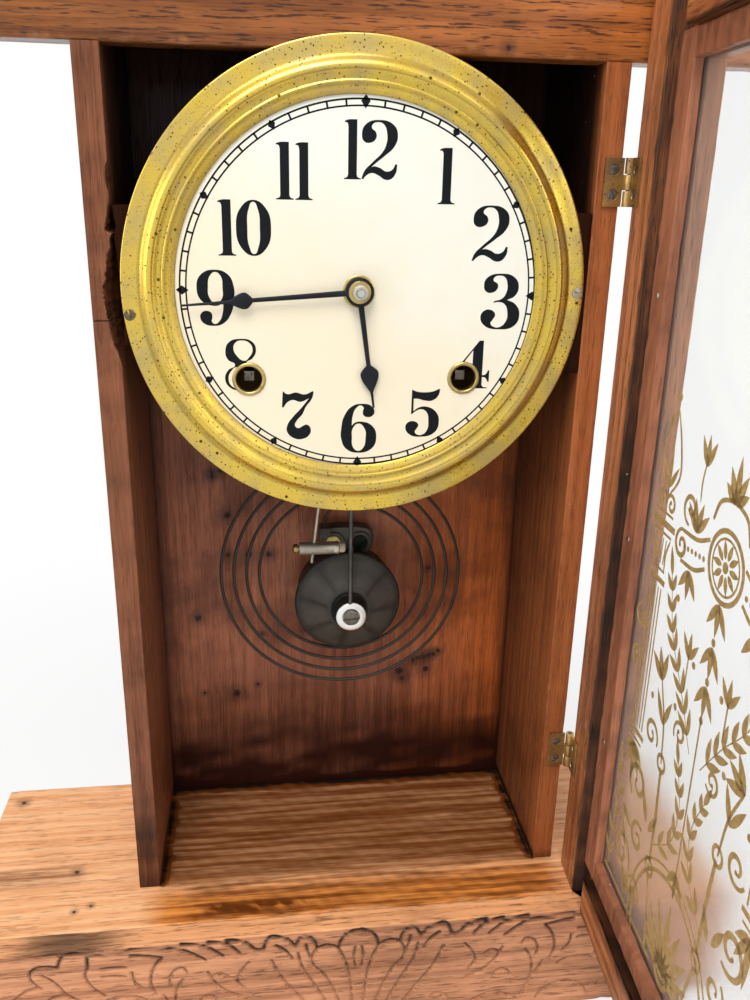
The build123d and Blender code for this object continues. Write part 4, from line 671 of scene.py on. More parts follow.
# the cuts get dirt and painted shade, stronger towards the top of the board and black in its upper scallops
in_cuts = np.interp(z, [0, 30, 48, 60], [0.35, 0.5, 0.9, 1.15]) * front_cut ** np.interp(z, [44, 56], [1, 0.6])
on_face = 0.14 * (y < BASE_FRONT + 0.4)
bruise = patch(x, -138, 24, 3) * (0.8 + 0.05 * wobble(x / 30, 57)) * (z > BASE_TOP - 1.2)
# painted highlight: the front board's upward top face and its top arris take the lighter second tones of the tint mark
board_piece("base_front_carved", [(front_rings, front_wear)], FRONT_OAK, "case", ["base_front_board"],
            soot_and_shade=np.maximum(np.maximum(in_cuts, on_face), bruise).ravel(),
            tint_and_highlight=ramp(z, BASE_TOP - 0.8, BASE_TOP - 0.3).ravel())

# %% Base top
CASE_X, WALL, CASE_FRONT = 109.6, 10.5, -25.0
CASE_INSIDE = CASE_X - WALL
top_rings, top_wear = plank((-BASE_X, FRONT_BACK, BASE_TOP - BOARD), (BASE_X, BASE_REAR, BASE_TOP), 0, 0.7, 52, 2.5, 2)
x, y, z = np.moveaxis(top_rings, -1, 0)
on_top = z > BASE_TOP - 1
uneven = 0.5 * wobble(x / 45 + y / 9, 5) + 0.5 * wobble(x / 17 - y / 5, 6)
spilt = 1 - ramp(np.abs(x - 4), 98, 112)  # varnish was spilt in front of the case
varnish = spilt * np.interp(y + 2.0 * uneven, [-51, -50, -36, -29, -25], [0.75, 0.95, 0.9, 0.45, 0.0])
streaks = 0.42 * (1 + 0.9 * uneven) * ramp(x, -92, -80) * (y < CASE_FRONT + 1)
smear = patch(x, -52, 27, 4) * patch(y + 2 * uneven, -43.5, 3.8) * (0.85 + 0.35 * wobble(x / 4 + y / 1.3, 8))
in_case = np.abs(x) < CASE_INSIDE + 0.5
# painted shade: the floor darkens from just behind the case's front into the case, and goes black along the feet of the
# side boards and along the back board
shut_in = in_case * (0.84 * ramp(y, -27, -20) + 0.1 * uneven)
beside = np.exp(-np.abs(CASE_INSIDE - np.abs(x)) / 3.0) * (y > CASE_FRONT)
floor_corner_shade = np.maximum(beside, np.exp(-(CASE_REAR - y) / 3.5)) * (0.75 + 0.45 * uneven)
greyed = 0.5 * patch(x, -180, 40, 6) * patch(y + uneven, -11.5, 7.5, 4)
stain_and_shade = np.clip(np.maximum(spilt * (streaks + smear), shut_in), 0, 1.2) + greyed
stain_and_shade += 2.5 * in_case * np.clip(floor_corner_shade - 0.15, 0, 1)
board_piece("base_top", [(top_rings, top_wear)], LIT_BASE_OAK, "case", ["base_top_board"],
            soot_and_shade=(stain_and_shade * on_top).ravel(), tint_and_highlight=(varnish * on_top).ravel())

# %% Other boards of the base
INNER_TOP = BASE_TOP - BOARD
board_piece("base_bottom", [plank((-BASE_X, FRONT_BACK, 0), (BASE_X, BASE_REAR, BOARD), 0, 0.9, 53, 14, 14)],
            END_OAK, "case", ["base_bottom_board"])
ends = [plank((x - BOARD / 2, FRONT_BACK, BOARD), (x + BOARD / 2, BASE_REAR, INNER_TOP), 1, 0.6, seed)
        for x, seed in ((BOARD / 2 - BASE_X, 54), (BASE_X - BOARD / 2, 55))]
board_piece("base_sides", ends, END_OAK, "case", ["base_ends_and_back"])
rear = plank((BOARD - BASE_X, BASE_REAR - BOARD, BOARD), (BASE_X - BOARD, BASE_REAR, INNER_TOP), 0, 0.6, 56)
board_piece("base_rear", [rear], TOP_OAK, "case", [])

# %% [markdown]
# ## The case
# The two side boards carry everything. Their front edges show as smooth reddish bands. The left one has been broken out
# behind the bezel: its inner arris is torn, dark and fibrous, with a crack across the edge below. The tear is the
# board's own thickness falling off towards the front, uneven from row to row, so no second mesh is needed.

# %% Tear and crack
CRACK_Z, CRACK_HALF = 351.5, 0.45
TEAR_DEEP = 15.0  # the tear runs out this far behind the front
TEAR = np.array([(332, 0), (336, 0.6), (342, 2.6), (348, 3.9), (355, 4.9), (361, 5.2), (364, 5.6), (369, 4.3),
                 (374, 3.4), (378, 2.7), (380, 1.4), (384.4, 1.2), (386, 0.3), (387.2, 3.2), (391, 2.2), (395, 1.3),
                 (400, 0.3), (406, 1.4), (411.5, 1.0), (413, 0)])  # how much of the front edge is gone at each height


def tear(rings, soot_and_shade):
    """Breaks the left board: its thickness falls by TEAR, fading to the back as (1 - depth / TEAR_DEEP)^0.8, and a
    narrow V crosses its front edge. Returns the soot with bare fibres, the handled foot of the edge and the crack."""
    x, y, z = np.moveaxis(rings, -1, 0)
    fade = (1 - ramp(y, CASE_FRONT, CASE_FRONT + TEAR_DEEP)) ** 0.8
    torn = np.interp(z, *TEAR.T) * fade * (1 + 0.06 * wobble(z / 3, 63) + 0.09 * wobble(z / 0.9 + y, 64))
    behind = ramp(y, CASE_FRONT + 0.05, CASE_FRONT + 0.35) * (x + CASE_X > 0.9 * WALL)
    fibrous = np.clip(0.42 + 0.4 * wobble(z / 1.6 + y / 1.1, 65) + 0.2 * wobble(z / 7, 66), 0, 0.9)
    handled = np.interp(z, [BASE_TOP, 100, 125], [0.62, 0.52, 0.3]) * (1 + 0.5 * wobble(z / 26, 67))
    handled *= y < CASE_FRONT + 0.3
    x += (x + CASE_X) * -np.clip(torn, 0, 6.2) / WALL
    crack = np.clip(1 - np.abs(z - CRACK_Z - 0.35 * wobble(x / 1.5, 9)) / CRACK_HALF, 0, 1) * (y < CASE_FRONT + 1.0)
    y += 0.8 * crack
    soot_and_shade = np.maximum(soot_and_shade * (1 - np.clip(torn, 0, 1)), np.clip(torn / 0.8, 0, 1) * behind * fibrous)
    return np.maximum(np.maximum(soot_and_shade, handled), crack)


print("deepest tear:", TEAR[:, 1].max(), "mm")

# %% Side boards
CASE_TOP, NOTCH_Z, NOTCH_Y, NOTCH_ROWS = 484.0, 455.0, -11.0, 6  # the crest is let into a notch at the top

side_run = np.unique(np.concatenate([np.linspace(BASE_TOP, NOTCH_Z, 60), np.linspace(315, 413, 110),
                                     CRACK_Z + np.linspace(-1.2, 1.2, 9)]))
side_run = np.concatenate([side_run, [NOTCH_Z], np.linspace(NOTCH_Z + 4, CASE_TOP, NOTCH_ROWS - 1)])
stations = len(side_run)
front_edge = np.where(np.arange(stations) < stations - NOTCH_ROWS, CASE_FRONT, NOTCH_Y)
for side, name, finish, seed, shade in ((-1, "left", SIDE_OAK, 61, 0.0), (1, "right", RIGHT_OAK, 62, 0.36)):
    x_low, x_high = sorted((side * CASE_X, side * CASE_INSIDE))
    low = np.stack([np.full(stations, x_low), front_edge], -1)
    high = np.stack([np.full(stations, x_high), np.full(stations, CASE_REAR)], -1)
    rings, wear = board(2, side_run, low, high, 0.4, seed, 4.0, chips=7)
    x, y, z = np.moveaxis(rings, -1, 0)
    inner = np.abs(x) < CASE_INSIDE + 0.3
    # painted shade: the inner faces darken towards the back and towards the top of the case, the right one from a
    # darker start, and stay clear near the front edge
    soot_and_shade = np.clip(shade + 0.27 * (y / CASE_REAR) + 0.85 * ramp(z, 290, 400), 0, 0.97)
    soot_and_shade *= inner * ramp(y, CASE_FRONT, CASE_FRONT + 10)
    if side < 0:
        soot_and_shade = tear(rings, soot_and_shade)
    # painted shade: the foot of each board goes black where it meets the base, most on the inner face
    foot = inner * np.exp(-(z - BASE_TOP) / 2.5) + 0.5 * np.exp(-(z - BASE_TOP) / 1.2)
    board_piece(f"{name}_side", [(rings, wear)], finish, "case", [f"{name}_side_board"],
                soot_and_shade=np.maximum(soot_and_shade, 1.5 * foot).ravel())

# %% [markdown]
# ## The crest
# The crest crosses the front above the dial. Its outline steps up in quarter curves, as a saw and a spindle sander
# leave it. Height over the width is a function, so the board's limits follow it station by station. The volutes, the
# leaves and the fan that are cut into its face are drawn new.

# %% Crest outline
CREST_HALF, CREST_TOP = 188.47, 133.0
CREST_ARCS = [((163, 42), (188, 24), (178, 0)), ((96, 80), (122, 50), (163, 42)), ((57, 98), (80, 99), (96, 80)),
              ((45, 104), (50, 98), (57, 98)), ((-45, 104), (0, CREST_TOP), (45, 104))]


def arc_height(x, begin, via, end, upper=None):
    """Height at x of the circle through three points, on the branch where the middle point lies."""
    (ax, az), (bx, bz), (cx, cz) = begin, via, end
    d = 2 * (ax * (bz - cz) + bx * (cz - az) + cx * (az - bz))
    a2, b2, c2 = ax**2 + az**2, bx**2 + bz**2, cx**2 + cz**2
    ox = (a2 * (bz - cz) + b2 * (cz - az) + c2 * (az - bz)) / d
    oz = (a2 * (cx - bx) + b2 * (ax - cx) + c2 * (bx - ax)) / d
    rise = np.sqrt(np.maximum((ax - ox) ** 2 + (az - oz) ** 2 - (x - ox) ** 2, 0))
    return oz + rise * (1 if (bz > oz if upper is None else upper) else -1)


def crest_limits(x):
    """Lower and upper height of the crest at x, from the arcs of its half outline."""
    x = np.abs(x)
    top = arc_height(x, *CREST_ARCS[0], upper=True)
    for limit, arc in zip((163, 96, 57, 45), CREST_ARCS[1:]):
        top = np.where(x < limit, arc_height(x, *arc), top)
    return np.where(x > 178, arc_height(x, *CREST_ARCS[0], upper=False), 0), top


print("crest, lower and upper edge at the middle:", [float(edge[0]) for edge in crest_limits(np.zeros(1))])

# %% Crest board
CREST_STRAIGHT, CREST_CUT_WIDE = 178.0, 1.5
FAN_AT = (0, 522)

tip = 10.4 * np.linspace(0, 1, 26) ** 2 - CREST_HALF
crest_run = np.unique(np.concatenate([np.linspace(-1, 1, 310) * CREST_STRAIGHT, tip, -tip]))
crest_low, crest_high = (np.stack([np.full(len(crest_run), y), NOTCH_Z + z], -1)
                         for y, z in zip((CASE_FRONT, NOTCH_Y), crest_limits(crest_run)))
crest_rings, crest_wear = board(0, crest_run, crest_low, crest_high, 1.3, 71, 1.15, chips=10, end=0.3, wave=0.05)
crest_lines = [petal(*FAN_AT, a, 44 - 0.1 * abs(a), 6.6) for a in (-60, -40, -20, 0, 20, 40, 60)]
crest_lines += [scroll(*FAN_AT, 9, 0, 180, 0), scroll(*FAN_AT, 4, 0, 360, 0)]
for side in (-1, 1):
    crest_lines += [scroll(side * 66, 528, 22, 90 + side * 90, -side * 500, 0.75),
                    scroll(side * 158, 478, 14, 90 - side * 90, side * 480, 0.75),
                    np.stack([side * np.linspace(44, 150, 50), 494 + 14 * np.cos(np.linspace(0, 2.6, 50))], -1)]
    crest_lines += [petal(side * 100, 502, side * a, 24, 4.6) for a in (10, 42, 74)]
crest_cut = carve(crest_rings, crest_rings[..., 1] < CASE_FRONT + 0.4, crest_lines, CREST_CUT_WIDE)
# the cuts get dirt and painted shade in the soot mark
board_piece("crest", [(crest_rings, crest_wear)], CREST_OAK, "case", ["crest_board"],
            soot_and_shade=0.9 * crest_cut.ravel() ** 0.8)

# %% Top, back and dial blocks
board_piece("top", [plank((-CASE_X, NOTCH_Y, CASE_TOP), (CASE_X, BASE_REAR, CASE_TOP + BOARD), 0, 0.9, 72)],
            TOP_OAK, "case", ["top_board"])

back_rings, back_wear = plank((-CASE_X, CASE_REAR, BASE_TOP), (CASE_X, BASE_REAR, CASE_TOP), 2, 0.6, 73, 6, 6)
x, y, z = np.moveaxis(back_rings, -1, 0)
# painted shade: the back board darkens towards the top of the case and goes black along the base and beside the side
# boards; low_dark makes it darker towards the bottom, in patches
high_dark = np.clip((z - 300) / 90, 0, 0.96)
back_corner_shade = 1.4 * np.exp(-(z - BASE_TOP) / 6) + np.exp(-(CASE_INSIDE - np.abs(x)) / 6)
low_dark = np.interp(z + 5 * wobble(x / 45, 8), [62, 86, 104, 128, 150, 172], [1, 0.96, 0.76, 0.48, 0.15, 0])
patchy = wobble(x / 60 + z / 23, 77) + wobble(z / 14 - x / 85, 78)
low_dark = np.maximum(low_dark * np.clip(0.95 + 0.15 * patchy, 0, 1.05), 0.3 * np.clip(patchy, 0, 1))
back_shade_and_low_dark = np.maximum(high_dark, np.clip(np.maximum(back_corner_shade, low_dark), 0, 1.4)) * (y < CASE_REAR + 2)
board_piece("back", [(back_rings, back_wear)], BACK_OAK, "case", ["back_board"], soot_and_shade=back_shade_and_low_dark.ravel())

BLOCK_IN, BLOCK_BACK, BLOCK_TOP = 87.1, -3, 397
left_block, left_wear = plank((-CASE_INSIDE, CASE_FRONT, 341), (-BLOCK_IN, BLOCK_BACK, BLOCK_TOP), 2, 0.5, 74, 4, 2)
x, y, z = np.moveaxis(left_block, -1, 0)
tear_near = np.interp(z, *TEAR.T) / TEAR[:, 1].max() * (x < -94) * (1 - ramp(y, CASE_FRONT, CASE_FRONT + 12))
left_block[..., 0] += (2.4 + 0.8 * wobble(z / 2, 75)) * tear_near
right_block = plank((BLOCK_IN, CASE_FRONT, 329), (CASE_INSIDE, BLOCK_BACK, BLOCK_TOP), 2, 0.5, 76, 4, 4)
board_piece("dial_side_blocks", [(left_block, left_wear), right_block], SHADED_BLOCK_WOOD, "case", ["dial_blocks"])

# %% [markdown]
# ## Small shapes that come back often
# A turned shape is a profile of radius and depth carried round an axis: bezel, grommets, washers and screw shanks are
# all turned. A wire is a circle carried along a path. A screw head is neither, because of its slot, so it is a sheet of
# chords: straight columns across a round head, with two columns on each wall of the slot.

# %% Turned shapes and wires
FRONT = np.array([[1, 0, 0], [0, 0, 1], [0, -1, 0]], float)  # across, up and out of a face that looks forward


def turned(profile, centre, basis=FRONT, count=96, ripple=None):
    """A profile of (radius, height) rows carried round `centre`: point = centre + radius (cos, sin) + height out.
    ripple(angle, row) adds to the radius, for knurls and flutes."""
    profile = np.asarray(profile, float)
    angle = np.linspace(0, 2 * np.pi, count, endpoint=False)[None, :]
    radius = profile[:, :1] + (ripple(angle, np.arange(len(profile))[:, None]) if ripple else 0 * angle)
    local = np.stack([radius * np.cos(angle), radius * np.sin(angle), profile[:, 1:] + 0 * angle], -1)
    return local @ basis + centre


def wire(path, radius, count=14):
    """A round wire: circles of `radius` square to a path (n, 3), turned as little as possible from row to row."""
    path = np.asarray(path, float)
    along = np.gradient(path, axis=0)
    along /= np.linalg.norm(along, axis=1, keepdims=True)
    flat = np.cross(along, np.where(np.abs(along[:, 1:2]) < 0.9, [[0, 1.0, 0]], [[1.0, 0, 0]]))
    flat /= np.linalg.norm(flat, axis=1, keepdims=True)
    angle = np.linspace(0, 2 * np.pi, count, endpoint=False)[None, :, None]
    radius = np.broadcast_to(np.asarray(radius, float), len(path))[:, None, None]
    return path[:, None] + radius * (np.cos(angle) * flat[:, None] + np.sin(angle) * np.cross(along, flat)[:, None])


# %% Slotted heads and threads
def screw_head(centre, basis, radius, height, slot_angle, slot=0.22, deep=0.6):
    """A slotted, slightly domed head as a sheet of chords: height falls with the square of the distance from the
    middle, drops by `deep` of the height between the two slot walls, and the outer rows go down to the seat."""
    wall = slot * radius
    x = np.concatenate([-radius * np.cos(np.linspace(0.16, 1.35, 7)), [-wall, -wall, wall, wall],
                        radius * np.cos(np.linspace(1.35, 0.16, 7))])
    in_slot = np.zeros(len(x))
    in_slot[8:10] = 1
    s = np.concatenate([[-1, -1], np.linspace(-0.97, 0.97, 11), [1, 1]])
    y = np.sqrt(np.maximum(radius**2 - x**2, 0))[:, None] * s[None, :]
    x = x[:, None] + 0 * y
    top = height * (1 - 0.35 * (x**2 + y**2) / radius**2) - deep * height * in_slot[:, None]
    top[:, [0, -1]] = 0
    top[[0, -1]] = 0
    sheet = np.stack([x, y, top], -1)
    c, q = math.cos(slot_angle), math.sin(slot_angle)
    spin = np.array([[c, q, 0], [-q, c, 0], [0, 0, 1]])
    rows, cols = x.shape
    rim = list(range(cols)) + [r * cols + cols - 1 for r in range(1, rows)]
    rim += [(rows - 1) * cols + j for j in range(cols - 2, -1, -1)] + [r * cols for r in range(rows - 2, 0, -1)]
    return sheet.reshape(-1, 3) @ spin @ basis + centre, grid_faces(rows, cols, wrap_cols=False) + [rim[::-1]]


THREAD = 1.1  # pitch of a wood screw


def screw_shank(centre, basis, radius, length):
    """A wood screw's shank: a tapering cone whose radius swells once a turn and once a pitch, which makes a thread."""
    depth = np.linspace(0, length, int(length / THREAD * 8))
    core = radius * np.interp(depth, [0, 0.7 * length, length], [1, 0.85, 0.12])
    angle = np.linspace(0, 2 * np.pi, 20, endpoint=False)[None, :]
    thread = 0.5 + 0.5 * np.cos(angle - 2 * np.pi * depth[:, None] / THREAD)
    r = core[:, None] * (0.8 + 0.2 * np.where(depth[:, None] > 0.25 * length, thread, 1))
    local = np.stack([r * np.cos(angle), r * np.sin(angle), -depth[:, None] + 0 * r], -1)
    return tube_shell(local @ basis + centre)


# %% [markdown]
# ## Bezel and dial
# The bezel is spun from sheet brass: a flat flange, a raised bead, a cove with a fine line in it, and a slope down to
# the dial. Its profile goes round the dial's centre in fine steps, so no facet shows. Dirt is marked where the profile
# is hollow. The dial plate itself is flat with three holes, so the CAD node stays and only gets its paint.

# %% Bezel and grommets
DIAL_Z = 364.0
DIAL = np.array([0.0, CASE_FRONT, DIAL_Z])
BEZEL_PROFILE = [(97.2, -0.55), (97.55, -0.2), (97.6, 0.35), (97.35, 0.75), (96.9, 0.85), (94.5, 0.72), (91.4, 0.72),
                 (90.2, 0.85), (89.4, 1.25), (88.7, 1.9), (88.0, 2.55), (87.3, 3.05), (86.5, 3.36), (85.8, 3.38),
                 (85.2, 3.2), (84.8, 2.92), (84.5, 2.86), (84.0, 2.62), (83.2, 2.2), (82.4, 1.9), (81.7, 1.76),
                 (81.3, 1.78), (81.0, 2.0), (80.6, 2.12), (80.2, 2.02), (79.9, 1.78), (79.4, 1.62), (78.4, 1.25),
                 (77.2, 0.72), (76.3, 0.3), (76.0, 0.1), (76.0, -0.3), (76.4, -0.5), (79.5, 0.9), (84, 2.0), (86, 2.6),
                 (88.2, 1.3), (90.2, 0.1), (94, -0.1)]
BEZEL_DIRT = np.interp(np.arange(len(BEZEL_PROFILE)), [0, 6, 7, 8, 9, 13, 14, 15, 16, 20, 21, 22, 26, 27, 31, 32],
                       [0.1, 0.0, 0.55, 0.35, 0, 0, 0.3, 0.6, 0.1, 0.25, 0.6, 0, 0.45, 0.05, 0.5, 0])
BEZEL_STEPS = 320
bezel = turned(BEZEL_PROFILE, DIAL, count=BEZEL_STEPS)
piece("bezel", [tube_shell(bezel, closed=True)], BEZEL_BRASS, "case", ["dial_bezel"], angle=60,
      marks={"soot_and_shade": np.repeat(BEZEL_DIRT, BEZEL_STEPS)})

DIAL_FACE = -24.4
GROMMET_MID = 6.3
WINDING = [np.array([x, CASE_FRONT, 327.0]) for x in (-46.8, 46.8)]
roll = np.linspace(np.pi, 0, 9)
GROMMET_PROFILE = [*np.stack([GROMMET_MID + 0.9 * np.cos(roll[::-1]), -0.58 + 0.78 * np.sin(roll[::-1])], -1),
                   (5.45, -1.2), (5.45, -3.2), (5.9, -3.2), (5.9, -0.62)]
piece("winding_grommets", [tube_shell(turned(GROMMET_PROFILE, c, count=72), closed=True) for c in WINDING],
      GROMMET_BRASS, "case", ["dial_grommets"], angle=50)

# %% [markdown]
# ## Numbers and minute track
# The numbers are fat-faced figures with thick stems and hair-thin joins. A font file would bring its own design and
# its own file, so the ten figures are drawn here from a few points each: `c` is a corner and `s` a smooth point. They
# become filled curves, then flat meshes, and only then go to their places on the dial. The track is two fine rings with
# a tick per minute, a diamond at the quarters and a small triangle at the other fives.

# %% Outlines of the figures
def figure_points(text):
    """Reads 'x,y,c x,y x,y' into rows of x, y and whether the point is a corner."""
    rows = [word.split(",") for word in text.split()]
    return [(float(r[0]), float(r[1]), len(r) > 2) for r in rows]


SIX = ("1,50 6,76 20,96 36,100 50,96 56,86 54,77 46,73 38,77 37,86 38,92 33,96.5 26,92 20,76 18.5,56,c 24,62 34,64 "
       "52,56 60,32 52,8 30,0 10,8 1,30", "30,60 40,50 42,30 38,10 30,4 22,10 19,32 21,52")
FIGURES = {
    "1": ("1,97,c 6,99 25,100,c 25,8,c 27,4 33,2,c 33,0,c 0,0,c 0,2,c 6,4 8,8,c 8,88,c 6,94 1,95,c",),
    "2": ("0,74 6,92 30,100 56,92 63,74 57,56 40,40 24,27 13,17,c 20,22 32,20 44,14 54,17 60,27,c 63,26,c 61,12 52,1 "
          "42,0 30,7 18,11 8,6 3,0,c 0,1,c 5,14 20,30 36,46 43,60 44,78 38,93 28,96.5 19,93 17,87 24,80 25,70 15,62 "
          "4,64",),
    "3": ("3,78 8,93 30,100 52,94 60,77 54,60 42,53.5,c 56,46 64,27 56,6 30,0 8,6 0,22 6,34 17,35 24,27 20,17 17,11 "
          "24,4 33,4.5 42,14 44,30 38,46 28,49.5 20,48,c 21,51,c 34,56 40,66 41,82 36,94 28,96.5 20,94 18,88 25,82 "
          "25,73 16,66 7,68",),
    "4": ("46,100,c 53,100,c 53,28,c 58,29 63,38,c 65,38,c 65,14,c 63,14,c 58,23 53,24,c 53,7,c 56,3 62,2,c 62,0,c "
          "26,0,c 26,2,c 33,3 36,7,c 36,24,c 0,24,c 0,27,c", "36,27.5,c 5,27.5,c 36,80,c"),
    "5": ("10,99,c 18,95 34,93 48,95 58,100,c 60,99,c 57,86 46,76 34,76 20,80 13.5,80,c 13.5,54,c 24,62 38,63 54,52 "
          "60,32 52,8 28,0 8,5 0,20 5,31 15,33 23,26 20,17 17,11 22,4.5 31,4.5 39,14 41,33 37,52 28,58 19,55 11,48,c "
          "9.5,48,c",),
    "6": SIX,
    "7": ("2,99,c 10,93 26,96 42,92 58,99,c 59,96,c 56,84 44,66 38,52 27,38 24,28 30,23 38,27 46,30 53,22 50,8 36,0 "
          "20,3 9,16 10,30 20,46 34,62 46,78 50,84,c 34,77 20,81 10,76 3,66,c 0,66,c",),
    "8": ("29,100 48,95 55,78 48,62 38,54 52,44 59,26 50,6 28,0 8,6 0,24 6,40 18,50 6,60 2,76 9,94",
          "30,97 44,92 49,78 43,65 35,58 20,70 16,82 20,93", "21,46 38,34 44,22 42,8 28,3.5 12,8 6,24 11,38"),
    "0": ("31,100 53,86 62,50 53,14 31,0 9,14 0,50 9,86", "31,96.5 39,84 42,50 39,16 31,3.5 23,16 20,50 23,84"),
}
# where each figure stands: left, right, bottom and top in millimetres from the dial's centre
PLACES = [("1", -6.7, 0.1, 44.4, 66.8), ("2", 0.4, 14.9, 44.4, 66.8), ("1", 32.1, 39.2, 35.5, 57.2),
          ("2", 47.7, 63.1, 12.8, 35.4), ("3", 53.0, 70.2, -15.7, 7.9), ("4", 41.1, 58.4, -41.7, -20.6),
          ("5", 21.6, 36.7, -63.5, -41.8), ("6", -7.3, 8.6, -70.5, -48.2), ("7", -33.0, -19.2, -63.9, -42.3),
          ("8", -56.9, -42.6, -41.9, -19.8), ("9", -67.2, -51.8, -14.4, 8.4), ("1", -57.7, -50.6, 14.0, 35.8),
          ("0", -50.4, -36.3, 14.0, 35.8), ("1", -34.1, -27.0, 36.1, 57.8), ("1", -26.3, -19.4, 36.1, 57.8)]
print("figures drawn:", len(FIGURES), "places:", len(PLACES))

# %% Filled figures
INK_FRONT, INK_BACK = DIAL_FACE - 0.05, DIAL_FACE + 0.02


def figure_mesh(name):
    """One figure as points (n, 2) between 0 and 1 in width and height, and its faces, filled by a flat curve."""
    drawn = bpy.data.curves.new("figure", "CURVE")
    drawn.dimensions, drawn.fill_mode, drawn.resolution_u = "2D", "BOTH", 8
    for text in FIGURES["6" if name == "9" else name]:
        rows = figure_points(text)
        line = drawn.splines.new("BEZIER")
        line.bezier_points.add(len(rows) - 1)
        for point, (x, y, corner) in zip(line.bezier_points, rows):
            point.co = (60 - x, 100 - y, 0) if name == "9" else (x, y, 0)
            point.handle_left_type = point.handle_right_type = "VECTOR" if corner else "AUTO"
        line.use_cyclic_u = True
    holder = bpy.data.objects.new("figure", drawn)
    mesh = bpy.data.meshes.new_from_object(holder)
    flat = np.empty(3 * len(mesh.vertices))
    mesh.vertices.foreach_get("co", flat)
    flat = flat.reshape(-1, 3)[:, :2]
    faces = [list(f.vertices) for f in mesh.polygons]
    bpy.data.objects.remove(holder)
    bpy.data.curves.remove(drawn)
    bpy.data.meshes.remove(mesh)
    return (flat - flat.min(0)) / np.ptp(flat, axis=0), faces


def slab(flat, faces):
    """A thin closed slab of ink: the flat faces in front, their mirror behind, and walls along the open edges."""
    n = len(flat)
    front = np.stack([flat[:, 0], np.full(n, INK_FRONT), DIAL_Z + flat[:, 1]], -1)
    back = front + [0, INK_BACK - INK_FRONT, 0]
    edges = [(a, b) for f in faces for a, b in zip(f, f[1:] + f[:1])]
    both = set(edges)
    walls = [[a, b, b + n, a + n] for a, b in edges if (b, a) not in both]
    return np.concatenate([front, back]), faces + [[i + n for i in f[::-1]] for f in faces] + walls


def clear_of(flat, faces, centre, radius):
    """Cuts a flat figure along the sides of a sixteen-sided hole and drops what lies inside it."""
    made = bmesh.new()
    points = [made.verts.new((x, z, 0)) for x, z in flat]
    for f in faces:
        made.faces.new([points[i] for i in f])
    for a in np.arange(16) * np.pi / 8:
        way = np.array([math.cos(a), math.sin(a), 0])
        bmesh.ops.bisect_plane(made, geom=made.verts[:] + made.edges[:] + made.faces[:],
                               plane_co=np.append(centre, 0) + radius * way, plane_no=way)
    inside = [f for f in made.faces if np.hypot(*(np.array(f.calc_center_median()[:2]) - centre)) < radius]
    bmesh.ops.delete(made, geom=inside, context="FACES")
    made.verts.index_update()
    left = np.array([v.co[:2] for v in made.verts]), [[v.index for v in f.verts] for f in made.faces]
    made.free()
    return left


# %% Figures in their places
ink = []
for name, left, right, bottom, top in PLACES:
    flat, faces = figure_mesh(name)
    flat = flat * [right - left, top - bottom] + [left, bottom]
    if name in "48":
        hole = WINDING[1] if name == "4" else WINDING[0]
        flat, faces = clear_of(flat, faces, hole[[0, 2]] - [0, DIAL_Z], GROMMET_MID)
    ink.append(slab(flat, faces))
print("figures:", len(ink))

# %% Minute track
TRACK_IN, TRACK_OUT, LINE = 72.5, 75.0, 0.8
TRACK_AT, TRACK_TURN = np.array([1.0, -0.6]), 0.6  # the print sits a little off the centre of its plate


def flat_ring(radius, wide):
    """A printed ring: a thin rectangle carried round the dial's centre."""
    half, deep = wide / 2, INK_BACK - INK_FRONT
    profile = [(radius - half, 0), (radius + half, 0), (radius + half, deep), (radius - half, deep)]
    return tube_shell(turned(profile, (TRACK_AT[0], INK_BACK, DIAL_Z + TRACK_AT[1]), count=360), closed=True)


def radial_mark(outline, angle):
    """A small polygon given as (across, radius) rows, turned clockwise from twelve."""
    outline = np.asarray(outline, float)
    a = np.radians(angle + TRACK_TURN)
    x = outline[:, 1] * np.sin(a) + outline[:, 0] * np.cos(a)
    z = outline[:, 1] * np.cos(a) - outline[:, 0] * np.sin(a)
    return slab(np.stack([x, z], -1) + TRACK_AT, [list(range(len(outline)))])


ink += [flat_ring(TRACK_IN, 0.66), flat_ring(TRACK_OUT, 0.72)]
for minute in range(60):
    if minute % 15 == 0:
        form = [(0, 71.4), (1.9, 74.2), (0, 76.6), (-1.9, 74.2)]
    elif minute % 5 == 0:
        form = [(0, 71.9), (1.6, 74.2), (0, 76.0), (-1.6, 74.2)]
    else:
        form = [(-LINE / 2, TRACK_IN), (-LINE / 2, TRACK_OUT), (LINE / 2, TRACK_OUT), (LINE / 2, TRACK_IN)]
    ink.append(radial_mark(form, 6 * minute))
piece("dial_print", ink, DIAL_INK, "case")

# %% [markdown]
# ## Hands
# Both hands are blued steel: a round boss, a slim stem, a spade two thirds of the way out and a fine tip. Half the
# width is a function of the distance from the centre, and a shallow crown is carried along it. The knurled nut, its
# brass washer and the eyelet under the hour hand are turned.

